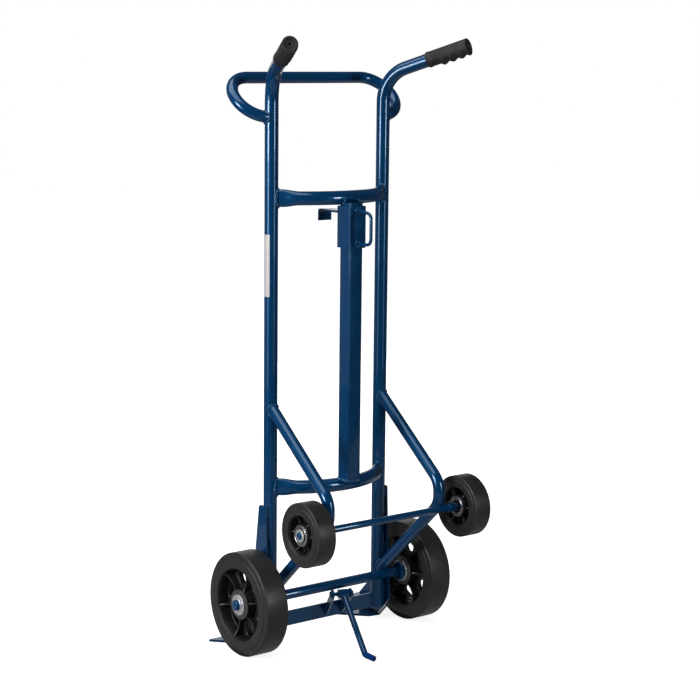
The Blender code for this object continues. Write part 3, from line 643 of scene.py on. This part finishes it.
def make_side_plate(label, side):
    outline = [(0.0190, 0.3530), (0.0133, 0.2100), (0.0050, 0.0850), (0.0030, 0.0550),
               (0.0470, 0.0100), (0.0520, 0.0063), (0.1250, 0.0063), (0.1300, 0.0300),
               (0.1310, 0.0405), (0.0800, 0.0940), (0.0620, 0.2440)]
    outline += arc2(0.0410, 0.3450, 0.008, 8.0, 90.0)
    outline = [(Y0 + y, z) for y, z in reversed(outline)]
    x = sorted((side * PLATE_INNER_X, side * PLATE_OUTER_X))
    bm = bmesh.new()
    extrude_outline(bm, outline, x[0], x[1])
    finish_piece("gusset_" + label, bm, PAINT, "frame",
                 ["side_plate_" + label], 30.0, 0.0008)
    for low, high in ((0.045, 0.100), (0.160, 0.205), (0.255, 0.300), (0.325, 0.352)):
        for y in (-0.0085, 0.0085):
            bead(welds, [Vector((side * 0.1842, UP_Y + y, low)),
                         Vector((side * 0.1842, UP_Y + y, high))], 0.0024)


def make_toe(label, side):
    outline = [(0.1620, 0.0525), (0.1925, 0.0480), (0.2640, 0.1015), (0.2830, 0.1225),
               (0.2857, 0.1262), (0.2848, 0.1270), (0.1005, 0.1270), (0.0945, 0.1262),
               (0.0932, 0.1240), (0.0945, 0.1222)]
    bm = bmesh.new()
    low = [Vector((side * x, Y0 + y, 0.0)) for x, y in outline]
    high = [Vector((side * x, Y0 + y, TOE_THICK)) for x, y in outline]
    join_rings(bm, [low, high])
    finish_piece("toe_plate_" + label, bm, PAINT, "frame",
                 ["toe_" + label], 30.0, 0.0011)
    for x in (0.1842, 0.1918):
        bead(welds, [Vector((side * x, Y0 + 0.056, 0.0070)),
                     Vector((side * x, Y0 + 0.120, 0.0070))], 0.0024)


def make_ledge(label, side):
    low = (side * 0.1852 if side < 0.0 else 0.1572, UP_Y + UP_R + GAP, 0.0365)
    high = (low[0] + 0.0280, Y0 + 0.1310, 0.0425)
    bm = bmesh.new()
    box(bm, low, high)
    finish_piece("ledge_" + label, bm, PAINT, "frame",
                 ["toe_ledge_" + label], 30.0, 0.0008)


def make_base_bar():
    bm = bmesh.new()
    box(bm, (-0.1518, UP_Y - BASE_BAR_HALF, 0.0350), (0.1518, UP_Y + BASE_BAR_HALF, 0.0728))
    finish_piece("base_flat", bm, PAINT, "frame", ["base_bar"], 30.0, 0.0009)
    for side in (-1.0, 1.0):
        for y in (-0.0035, 0.0035):
            bead(welds, [Vector((side * 0.1515, UP_Y + y, 0.036)),
                         Vector((side * 0.1515, UP_Y + y, 0.072))], 0.0026)


def axle_piece(name, radius, end, hub, node, notch):
    """Painted axle with chamfered ends and a small drilled centre."""
    profile = [(end - 0.0022, radius), (end - 0.0006, radius - 0.0010),
               (end, radius - 0.0022), (end, radius * 0.30), (end - notch, radius * 0.12)]
    stations = [(-x, r) for x, r in reversed(profile)] + profile
    along = Vector((0.0, 1.0, 0.0))
    up = Vector((0.0, 0.0, 1.0))
    rings = [circle(Vector((x, hub.y, hub.z)), along, up, r, 40) for x, r in stations]
    bm = bmesh.new()
    join_rings(bm, rings)
    finish_piece(name, bm, PAINT, "frame", [node])


# -------- wheels
def make_tyre(prefix, label, side, hub, radius, core_r, opening, face, width):
    inner = face - width
    step = opening + (radius - opening) * 0.58
    drop = width * 0.032
    shoulder = width * 0.055
    profile = [(opening, face, 0.0020), (step, face, 0.0010),
               (step + drop * 0.7, face - drop, 0.0012),
               (radius - shoulder * 0.8, face - drop - 0.0006, 0.0016),
               (radius, face - drop - shoulder, 0.0016),
               (radius, inner + shoulder * 0.6, 0.0016),
               (radius - shoulder * 0.8, inner + 0.0008, 0.0016),
               (step + drop * 0.7, inner + 0.0006, 0.0012), (step, inner, 0.0010),
               (opening, inner, 0.0020), (opening - 0.0008, inner + 0.0030, 0.0),
               (core_r + 0.0003, inner + 0.0032, 0.0),
               (core_r + 0.0003, face - 0.0032, 0.0),
               (opening - 0.0008, face - 0.0030, 0.0)]
    bm = bmesh.new()
    lathe(bm, rounded_profile(profile, 0.001, 4), side, hub, 112)
    finish_piece(prefix + "_tyre_ring_" + label, bm, TYRE, prefix + "_wheel_" + label,
                 ["%s_tyre_%s" % (prefix, label)], 44.0)


def make_core(prefix, label, side, hub, core_r, hub_r, bore_r, face, width, hub_face,
              rib, hub_inner, window, phase):
    """Cast core: rim, windowed web, six scooped ribs each side and a hub."""
    middle = face - width / 2.0
    rim = core_r - width * 0.11
    bm = bmesh.new()
    lip = 0.0034
    outer = rounded_profile(
        [(core_r, face - lip, 0.0008), (core_r, face - width + lip, 0.0008),
         (rim + 0.001, face - width + lip, 0.0012), (rim - 0.0030, middle, 0.0),
         (rim + 0.001, face - lip, 0.0012)], 0.001, 3)
    lathe(bm, outer, side, hub, 96)
    barrel = rounded_profile(
        [(hub_r - 0.0020, hub_face - 0.0040, 0.0008), (hub_r + 0.0016, middle, 0.0),
         (hub_r - 0.0020, hub_inner + 0.0040, 0.0008), (bore_r, hub_inner + 0.0040, 0.0),
         (bore_r, hub_face - 0.0040, 0.0)], 0.001, 3)
    lathe(bm, barrel, side, hub, 64)
    half_web = 0.0030 if prefix == "main" else 0.0024
    near, far, half_angle = window
    count = 36
    for sector in range(6):
        turn = phase + math.pi / 3.0 * (sector + 0.5)
        loops = []
        for grow, depth in ((None, half_web), (0.0012, half_web), (0.0, half_web - 0.0012),
                            (0.0, -half_web + 0.0012), (0.0012, -half_web),
                            (None, -half_web)):
            loop = []
            for k in range(count):
                t = 2.0 * math.pi * k / count
                c = math.copysign(abs(math.cos(t)) ** 0.55, math.cos(t))
                s = math.copysign(abs(math.sin(t)) ** 0.55, math.sin(t))
                if grow is None:
                    m = max(abs(math.cos(t)), abs(math.sin(t)))
                    r = (hub_r + rim) / 2.0 + (rim - hub_r + 0.004) / 2.0 * math.cos(t) / m
                    angle = math.pi / 6.0 * math.sin(t) / m
                else:
                    r = (near + far) / 2.0 + ((far - near) / 2.0 + grow) * c
                    angle = (half_angle + grow / r) * s
                loop.append(wheel_point(side, hub, r, middle + depth, turn + angle))
            loops.append(loop)
        join_rings(bm, loops, False)
    for index in range(6):
        turn = phase + math.pi / 3.0 * index
        for way in (1.0, -1.0):
            stations = []
            top = hub_face - middle - 0.0060 if way > 0 else middle - hub_inner - 0.0060
            edge = width / 2.0 - lip - 0.0015
            for i in range(13):
                t = i / 12.0
                r = hub_r - 0.003 + (rim + 0.0008 - hub_r + 0.003) * t
                scoop = math.sin(math.pi * t) ** 0.8
                height = top + (edge - top) * t - scoop * width * 0.13
                ring = []
                for across, level in ((-1.0, 0.0), (-0.80, 1.0), (-0.45, 1.03), (0.45, 1.03),
                                      (0.80, 1.0), (1.0, 0.0)):
                    offset = across * rib / 2.0
                    if level == 0.0:
                        offset = across * rib * 0.72
                    centre = wheel_point(side, hub, r, middle + way * height * level, turn)
                    ring.append(centre + Vector((0.0, -math.sin(turn), math.cos(turn)))
                                * offset)
                stations.append(ring)
            join_rings(bm, stations)
    finish_piece(prefix + "_core_cast_" + label, bm, CORE, prefix + "_wheel_" + label,
                 ["%s_core_%s" % (prefix, label)], 40.0)


def make_hub_ring(prefix, label, side, hub, outer, inner, at, thick, teeth, way, replaced):
    """Grey hub ring with a milled edge, over one face of the bearing."""
    bm = bmesh.new()
    rings = []
    segments = teeth * 4
    for k in range(segments):
        angle = 2.0 * math.pi * k / segments
        notch = 0.0009 if k % 4 in (0, 1) else 0.0
        profile = [(inner, at), (inner, at + way * (thick - 0.0006)),
                   (inner + 0.0006, at + way * thick), (outer - 0.0040, at + way * thick),
                   (outer - 0.0028, at + way * (thick - 0.0007)),
                   (outer - notch - 0.0008, at + way * (thick - 0.0010)),
                   (outer - notch, at + way * (thick - 0.0020)), (outer - notch, at)]
        rings.append([bm.verts.new(wheel_point(side, hub, r, x, angle)) for r, x in profile])
    for k, ring in enumerate(rings):
        bridge(bm, ring, rings[(k + 1) % segments])
    finish_piece("%s_hub_ring_%s_%s" % (prefix, "outer" if way > 0 else "inner", label), bm,
                 SEAL, prefix + "_wheel_" + label, replaced, 35.0)


def ring_piece(name, side, hub, profile, material, body, replaced=()):
    bm = bmesh.new()
    lathe(bm, rounded_profile(profile, 0.0005, 3), side, hub, RING_SEGMENTS)
    finish_piece(name, bm, material, body, replaced, 35.0)


def washer_profile(inner, outer, low, high):
    edge = min(0.0005, (high - low) * 0.4)
    return [(inner, low, 0.0), (inner, high, 0.0), (outer, high, edge), (outer, low, edge)]


def make_wheel_hardware(label, side):
    main = "main_wheel_" + label
    rear = "rear_wheel_" + label
    make_hub_ring("main", label, side, MAIN_HUB, 0.0372, 0.0264, 0.2782, 0.0036, 34, 1.0,
                  ["main_bearing_outer_" + label])
    make_hub_ring("main", label, side, MAIN_HUB, 0.0372, 0.0240, 0.2258, 0.0034, 34, -1.0,
                  ["main_bearing_inner_" + label])
    ring_piece("main_bearing_race_" + label, side, MAIN_HUB,
               [(0.0130, 0.2400), (0.0130, 0.2808), (0.0160, 0.2808), (0.0164, 0.2800),
                (0.0218, 0.2800), (0.0222, 0.2808), (0.0262, 0.2808), (0.0262, 0.2400)],
               STEEL, main)
    ring_piece("main_outer_washer_" + label, side, MAIN_HUB,
               washer_profile(0.0129, 0.0255, 0.2823, 0.2843), ZINC, "frame",
               ["main_washer_outer_" + label])
    ring_piece("main_inner_washer_" + label, side, MAIN_HUB,
               washer_profile(0.0129, 0.0280, 0.2197, 0.2217), ZINC, "frame",
               ["main_washer_inner_" + label])
    ring_piece("main_axle_collar_" + label, side, MAIN_HUB,
               [(0.0128, 0.2120, 0.0), (0.0128, 0.2194, 0.0), (0.0230, 0.2194, 0.0012),
                (0.0230, 0.2120, 0.0012)], PAINT, "frame",
               ["main_collar_" + label])
    clip = bmesh.new()
    arc = [wheel_point(side, MAIN_HUB, 0.0136, 0.2858, math.radians(a))
           for a in range(25, 336, 10)]
    sweep(clip, arc, 0.0011, 10)
    finish_piece("main_snap_ring_" + label, clip, ZINC, "frame")
    # Dark ring behind the outer steel shell and shield: painted shade that darkens the grooves
    # between them.
    ring_piece("rear_outer_seal_" + label, side, REAR_HUB,
               [(0.0152, 0.2486), (0.0152, 0.2574), (0.0250, 0.2574), (0.0250, 0.2486)],
               CORE, rear)
    ring_piece("rear_outer_shell_" + label, side, REAR_HUB,
               [(0.0224, 0.2570), (0.0224, 0.2598), (0.0232, 0.2603), (0.0250, 0.2600),
                (0.0250, 0.2570)], STEEL, rear, ["rear_bearing_outer_" + label])
    ring_piece("rear_outer_shield_" + label, side, REAR_HUB,
               [(0.0180, 0.2570), (0.0180, 0.2592), (0.0186, 0.2597), (0.0204, 0.2597),
                (0.0210, 0.2592), (0.0210, 0.2570)], STEEL, rear)
    # Dark ring behind the inner steel shell and shield: painted shade that darkens the grooves
    # between them.
    ring_piece("rear_inner_seal_" + label, side, REAR_HUB,
               [(0.0115, 0.2154), (0.0115, 0.2260), (0.0250, 0.2260), (0.0250, 0.2154)],
               CORE, rear)
    ring_piece("rear_inner_shell_" + label, side, REAR_HUB,
               [(0.0224, 0.2156), (0.0224, 0.2130), (0.0232, 0.2126), (0.0250, 0.2130),
                (0.0250, 0.2156)], STEEL, rear, ["rear_bearing_inner_" + label])
    ring_piece("rear_inner_shield_" + label, side, REAR_HUB,
               [(0.0170, 0.2156), (0.0170, 0.2136), (0.0178, 0.2130), (0.0200, 0.2130),
                (0.0208, 0.2136), (0.0208, 0.2156)], STEEL, rear)
    ring_piece("rear_bearing_race_" + label, side, REAR_HUB,
               [(0.0087, 0.2160), (0.0087, 0.2600), (0.0125, 0.2600), (0.0130, 0.2584),
                (0.0149, 0.2584), (0.0149, 0.2160)], SEAL, rear)
    ring_piece("rear_outer_washer_" + label, side, REAR_HUB,
               washer_profile(0.0087, 0.0155, 0.2608, 0.2626), ZINC, "frame",
               ["rear_washer_" + label])
    ring_piece("rear_axle_spacer_" + label, side, REAR_HUB,
               [(0.0087, 0.1836, 0.0), (0.0087, 0.2118, 0.0), (0.0112, 0.2118, 0.0008),
                (0.0112, 0.1836, 0.0008)], PAINT, "frame",
               ["rear_spacer_" + label])


# -------- carriage
def make_carriage():
    bm = bmesh.new()
    square_tube(bm, SLEEVE_HALF, corner=0.0020, low=0.9860, high=1.0870, centre_y=MAST_Y,
                wall=0.0045)
    finish_piece("sleeve_tube", bm, PAINT, "carriage", ["carriage_sleeve"])
    load = MAST_Y + SLEEVE_HALF + GAP
    tip = Y0 + 0.0460
    top = 1.0735
    thick = 0.0055
    outline = [(load, top - thick)]
    outline += [(tip - thick - y, z) for y, z in
                ((0.0040, top - thick), (0.0012, top - thick - 0.0012),
                 (0.0, top - thick - 0.0040))]
    outline += [(tip - thick, top - 0.0292), (tip - thick + 0.0008, top - 0.0300),
                (tip - 0.0008, top - 0.0300), (tip, top - 0.0292)]
    outline += arc2(tip - 0.008, top - 0.008, 0.008, 0.0, 90.0, 10)
    outline += [(load, top)]
    bm = bmesh.new()
    extrude_outline(bm, outline, -0.0190, 0.0190)
    finish_piece("rim_hook", bm, PAINT, "carriage", ["chime_hook"], 30.0,
                 0.0009)
    for z in (top + 0.0006, top - thick - 0.0006):
        bead(carriage_welds, [Vector((x, load, z)) for x in (-0.018, 0.0, 0.018)], 0.0026)
    user = MAST_Y - SLEEVE_HALF - GAP
    route = filleted([(0.0, user, PULL_TOP), (0.0, PULL_Y, PULL_TOP - 0.0040),
                      (0.0, PULL_Y, PULL_LOW + 0.0010), (0.0, user, PULL_LOW)],
                     [0.015, 0.015], 10)
    bm = bmesh.new()
    sweep(bm, route, 0.0041, 20)
    finish_piece("pull_rod", bm, PAINT, "carriage", ["carriage_pull"])
    for z in (PULL_TOP, PULL_LOW):
        ring = [Vector((0.0058 * math.cos(math.radians(a)), user - 0.0006,
                        z + 0.0058 * math.sin(math.radians(a)))) for a in range(0, 360, 20)]
        bead(carriage_welds, ring, 0.0030, True)


# -------- kickstand
def make_stand():
    pin = -STAND_AXIS
    load = Vector((-pin.y, pin.x, 0.0))
    bend = Vector((-0.0460, Y0 - 0.1980, 0.0100))
    toe_end = Vector((-0.0430, Y0 - 0.2300, STAND_ROD_R + 0.0002))
    first = STAND_PIVOT + (bend - STAND_PIVOT).normalized() * 0.0095
    route = filleted([first, bend, toe_end], [0.016], 12)
    split = 12
    bm = bmesh.new()
    leg = route[:split]
    sweep(bm, leg, STAND_ROD_R, 24)
    up = Vector((0.0, 0.0, 1.0))
    rings = []
    end, wall = STAND_BARREL_HALF, STAND_BARREL_R
    for s, r in ((0.001 - end, 0.0055), (-end, 0.0064), (-end, wall - 0.001),
                 (0.001 - end, wall), (end - 0.001, wall), (end, wall - 0.001),
                 (end, 0.0064), (end - 0.001, 0.0055)):
        rings.append(circle(STAND_PIVOT + pin * s, load, up, r, 40))
    join_rings(bm, rings, False)
    finish_piece("stand_leg_rod", bm, PAINT, "stand", ["stand_leg"])
    bm = bmesh.new()
    foot = route[split - 1:]
    last = len(foot) - 1
    sweep(bm, foot, lambda i: STAND_ROD_R if i < last else STAND_ROD_R - 0.0005, 24)
    finish_piece("stand_foot_tip", bm, TIP, "stand", (), 30.0, 0.0008)
    direction = (bend - STAND_PIVOT).normalized()
    side = direction.cross(pin).normalized()
    ring = [STAND_PIVOT + direction * (STAND_BARREL_R + 0.0006)
            + (pin * math.cos(math.radians(a)) + side * math.sin(math.radians(a)))
            * (STAND_ROD_R + 0.0002) for a in range(0, 360, 20)]
    bead(stand_welds, ring, 0.0024, True)


def make_stand_ears():
    pin = -STAND_AXIS
    load = Vector((-pin.y, pin.x, 0.0))
    up = Vector((0.0, 0.0, 1.0))
    bar = UP_Y - BASE_BAR_HALF - GAP
    for name, offset in (("left", EAR_LEFT), ("right", EAR_RIGHT)):
        bm = bmesh.new()
        faces = []
        for edge in (-EAR_HALF, EAR_HALF):
            base = STAND_PIVOT + pin * (offset + edge)
            reach = (bar - base.y) / load.y
            outline = [(EAR_EYE_R * math.cos(math.radians(a)),
                        EAR_EYE_R * math.sin(math.radians(a))) for a in range(72, 251, 9)]
            outline += [(reach, 0.0390 - STAND_PIVOT.z), (reach, 0.0708 - STAND_PIVOT.z)]
            faces.append([base + load * a + up * b for a, b in outline])
        join_rings(bm, faces)
        finish_piece("stand_bracket_" + name, bm, PAINT, "frame",
                     ["stand_ear_" + name], 30.0, 0.0006)
        foot = STAND_PIVOT + pin * offset
        x = foot.x + load.x * (bar - foot.y) / load.y
        for shift in (-0.0034, 0.0034):
            bead(welds, [Vector((x + shift, bar - 0.0004, 0.040)),
                         Vector((x + shift, bar - 0.0004, 0.071))], 0.0022)
    bm = bmesh.new()
    rings = []
    left, right = EAR_LEFT - EAR_HALF, EAR_RIGHT + EAR_HALF
    half = [(0.0002, BOLT_R), (0.0002, BOLT_HEAD_R), (0.0034, BOLT_HEAD_R),
            (0.0042, BOLT_HEAD_R - 0.0012), (0.0042, 0.0004)]
    stations = [(left - s, r) for s, r in reversed(half)] + [(right + s, r) for s, r in half]
    for s, r in stations:
        rings.append(circle(STAND_PIVOT + pin * s, load, up, r, 24))
    join_rings(bm, rings)
    finish_piece("stand_pivot_bolt", bm, PAINT, "frame", ["stand_pin"])


def make_label():
    """Plain film label wrapped round the left upright."""
    bm = bmesh.new()
    rings = []
    for level in range(21):
        z = 0.869 + 0.150 * level / 20
        ring = []
        for r, order in ((UP_R + 0.0002, 1), (UP_R + 0.0006, -1)):
            angles = [math.radians(180.0 + order * (-44.0 + 88.0 * i / 16)) for i in range(17)]
            ring += [Vector((-UP_X + r * math.cos(a), UP_Y + r * math.sin(a), z))
                     for a in angles]
        rings.append(ring)
    join_rings(bm, rings)
    finish_piece("plain_label", bm, LABEL, "frame", ["label"], 40.0)


def make_axle_welds():
    for side in (-1.0, 1.0):
        for z, y in ((0.0098, 0.0090), (-0.0098, 0.0090)):
            points = [Vector((side * x, Y0 + y, MAIN_HUB.z + z))
                      for x in (0.1560, 0.1685, 0.1810)]
            bead(welds, points, 0.0032)
        for z, y in ((0.0070, 0.0075), (-0.0070, 0.0075)):
            points = [Vector((side * x, REAR_HUB.y + y, REAR_HUB.z + z))
                      for x in (0.1570, 0.1685, 0.1800)]
            bead(welds, points, 0.0028)


for side_name, sign in SIDES:
    make_upright(side_name, sign)
    make_grip(side_name, sign)
    make_brace(side_name, sign)
    make_side_plate(side_name, sign)
    make_toe(side_name, sign)
    make_ledge(side_name, sign)
    make_tyre("main", side_name, sign, MAIN_HUB, MAIN_TYRE_R, MAIN_CORE_R, MAIN_OPENING_R,
              MAIN_FACE, MAIN_WIDTH)
    make_core("main", side_name, sign, MAIN_HUB, MAIN_CORE_R, hub_r=0.0375, bore_r=0.0264,
              face=MAIN_FACE, width=MAIN_WIDTH, hub_face=0.2820, rib=0.0060,
              hub_inner=0.2220, window=MAIN_WINDOW, phase=MAIN_SPOKE_PHASE[side_name])
    make_tyre("rear", side_name, sign, REAR_HUB, REAR_TYRE_R, REAR_CORE_R, REAR_OPENING_R,
              REAR_FACE, REAR_WIDTH)
    make_core("rear", side_name, sign, REAR_HUB, REAR_CORE_R, hub_r=0.0285, bore_r=0.0252,
              face=REAR_FACE, width=REAR_WIDTH, hub_face=0.2605, rib=0.0040,
              hub_inner=0.2121, window=REAR_WINDOW, phase=REAR_SPOKE_PHASE)
    make_wheel_hardware(side_name, sign)

make_top_loop()
make_crossbar("upper_crossbar", UPPER_CROSS_Z)
make_crossbar("lower_crossbar", LOWER_CROSS_Z)
make_mast()
make_base_bar()
axle_piece("main_axle_bar", radius=0.0127, end=0.2945, hub=MAIN_HUB, node="main_axle",
           notch=0.0030)
axle_piece("rear_axle_bar", radius=0.0085, end=0.2665, hub=REAR_HUB, node="rear_axle",
           notch=0.0020)
make_carriage()
make_stand()
make_stand_ears()
make_label()
make_axle_welds()
finish_piece("weld_beads", welds, WELD, "frame", (), 60.0)
finish_piece("hook_weld_beads", carriage_welds, WELD, "carriage", (), 60.0)
finish_piece("stand_weld_bead", stand_welds, WELD, "stand", (), 60.0)


# -------- floor and light
def stage_piece(name, bm, colour, glow):
    """A white stage surface that the camera sees but that lights nothing."""
    mesh = bpy.data.meshes.new(name)
    bm.to_mesh(mesh)
    bm.free()
    stage = bpy.data.objects.new(name, mesh)
    bpy.context.scene.collection.objects.link(stage)
    material, _, shader = new_material(name + "_white", colour, 0.9)
    shader.inputs["Specular IOR Level"].default_value = 0.0
    shader.inputs["Emission Color"].default_value = (1.0, 1.0, 1.0, 1.0)
    shader.inputs["Emission Strength"].default_value = glow
    mesh.materials.append(material)
    stage.visible_diffuse = False
    stage.visible_glossy = False
    stage.visible_transmission = False
    return stage


def make_stage():
    bm = bmesh.new()
    bmesh.ops.create_circle(bm, cap_ends=True, segments=96, radius=14.0)
    bmesh.ops.translate(bm, vec=(0.0, 0.0, -0.0004), verts=bm.verts)
    floor = stage_piece("studio_floor", bm, (0.80, 0.80, 0.80), 0.66)
    tree = floor.data.materials[0].node_tree
    length = tree.nodes.new("ShaderNodeVectorMath")
    length.operation = "LENGTH"
    tree.links.new(position(tree), length.inputs[0])
    fade = tree.nodes.new("ShaderNodeMapRange")
    fade.inputs["From Min"].default_value = 0.5
    fade.inputs["From Max"].default_value = 2.2
    fade.inputs["To Min"].default_value = 0.80
    fade.inputs["To Max"].default_value = 1.05
    tree.links.new(length.outputs["Value"], fade.inputs["Value"])
    shader = tree.nodes["Principled BSDF"]
    tree.links.new(fade.outputs["Result"], shader.inputs["Emission Strength"])
    bm = bmesh.new()
    bmesh.ops.create_icosphere(bm, subdivisions=4, radius=24.0)
    bmesh.ops.reverse_faces(bm, faces=bm.faces)
    dome = stage_piece("studio_dome", bm, (0.0, 0.0, 0.0), 1.0)
    dome.visible_shadow = False


def area_light(name, place, target, width, height, power):
    data = bpy.data.lights.new(name, "AREA")
    data.shape = "RECTANGLE"
    data.size = width
    data.size_y = height
    data.energy = power
    light = bpy.data.objects.new(name, data)
    light.location = place
    light.rotation_euler = (Vector(target) - Vector(place)).to_track_quat("-Z", "Y").to_euler()
    bpy.context.scene.collection.objects.link(light)


# Two upright strips whose reflections make the stripes on the tubes, dimmer lower down.
STRIPS = (("left", -3.3, 0.0, 1.1, 1.0), ("right", 0.96, -3.15, 0.55, 0.8))
BANDS = (("top", 0.95, 1.90, 26.0), ("middle", 0.50, 0.95, 7.0), ("low", 0.02, 0.50, 2.2))

make_stage()
for name, x, y, width, share in STRIPS:
    for band, low, high, radiance in BANDS:
        middle = (low + high) / 2.0
        power = math.pi * width * (high - low) * radiance * share
        area_light("strip_%s_%s" % (name, band), (x, y, middle), (0.0, 0.0, middle),
                   width, high - low, power)
area_light("overhead", (-1.2, 0.3, 3.8), (0.0, 0.0, 0.6), 3.2, 3.2, 95.0)
area_light("back_left", (-2.0, 2.7, 0.9), (0.0, 0.0, 0.7), 1.8, 1.8, 1.4)
area_light("back_wide", (1.6, 3.4, 1.4), (0.0, 0.0, 0.7), 3.0, 2.8, 20.0)
area_light("floor_bounce", (0.0, -0.4, 0.012), (0.0, -0.4, 3.0), 3.2, 2.8, 8.0)

world = bpy.data.worlds.new("studio")
world.use_nodes = True
world.node_tree.nodes["Background"].inputs["Color"].default_value = (1.0, 1.0, 1.0, 1.0)
world.node_tree.nodes["Background"].inputs["Strength"].default_value = 0.05
bpy.context.scene.world = world
bpy.context.scene.view_settings.view_transform = "Standard"

# The camera was solved from the photograph's wheels, axles and tubes.
camera_data = bpy.data.cameras.new("camera")
camera_data.sensor_width = 36.0
camera_data.lens = 91.81
camera_data.shift_x = 0.0190
camera_data.shift_y = -0.0335
camera_data.clip_end = 60.0
camera = bpy.data.objects.new("camera", camera_data)
bpy.context.scene.collection.objects.link(camera)
right = Vector((0.79985, -0.60013, 0.00910))
up = Vector((0.08492, 0.12816, 0.98811))
back = Vector((-0.59417, -0.78957, 0.15347))
turn = Matrix((right, up, back)).transposed().to_4x4()
camera.matrix_world = Matrix.Translation((-2.6028, Y0 - 3.4687, 1.45805)) @ turn
bpy.context.scene.camera = camera

bpy.context.view_layer.update()
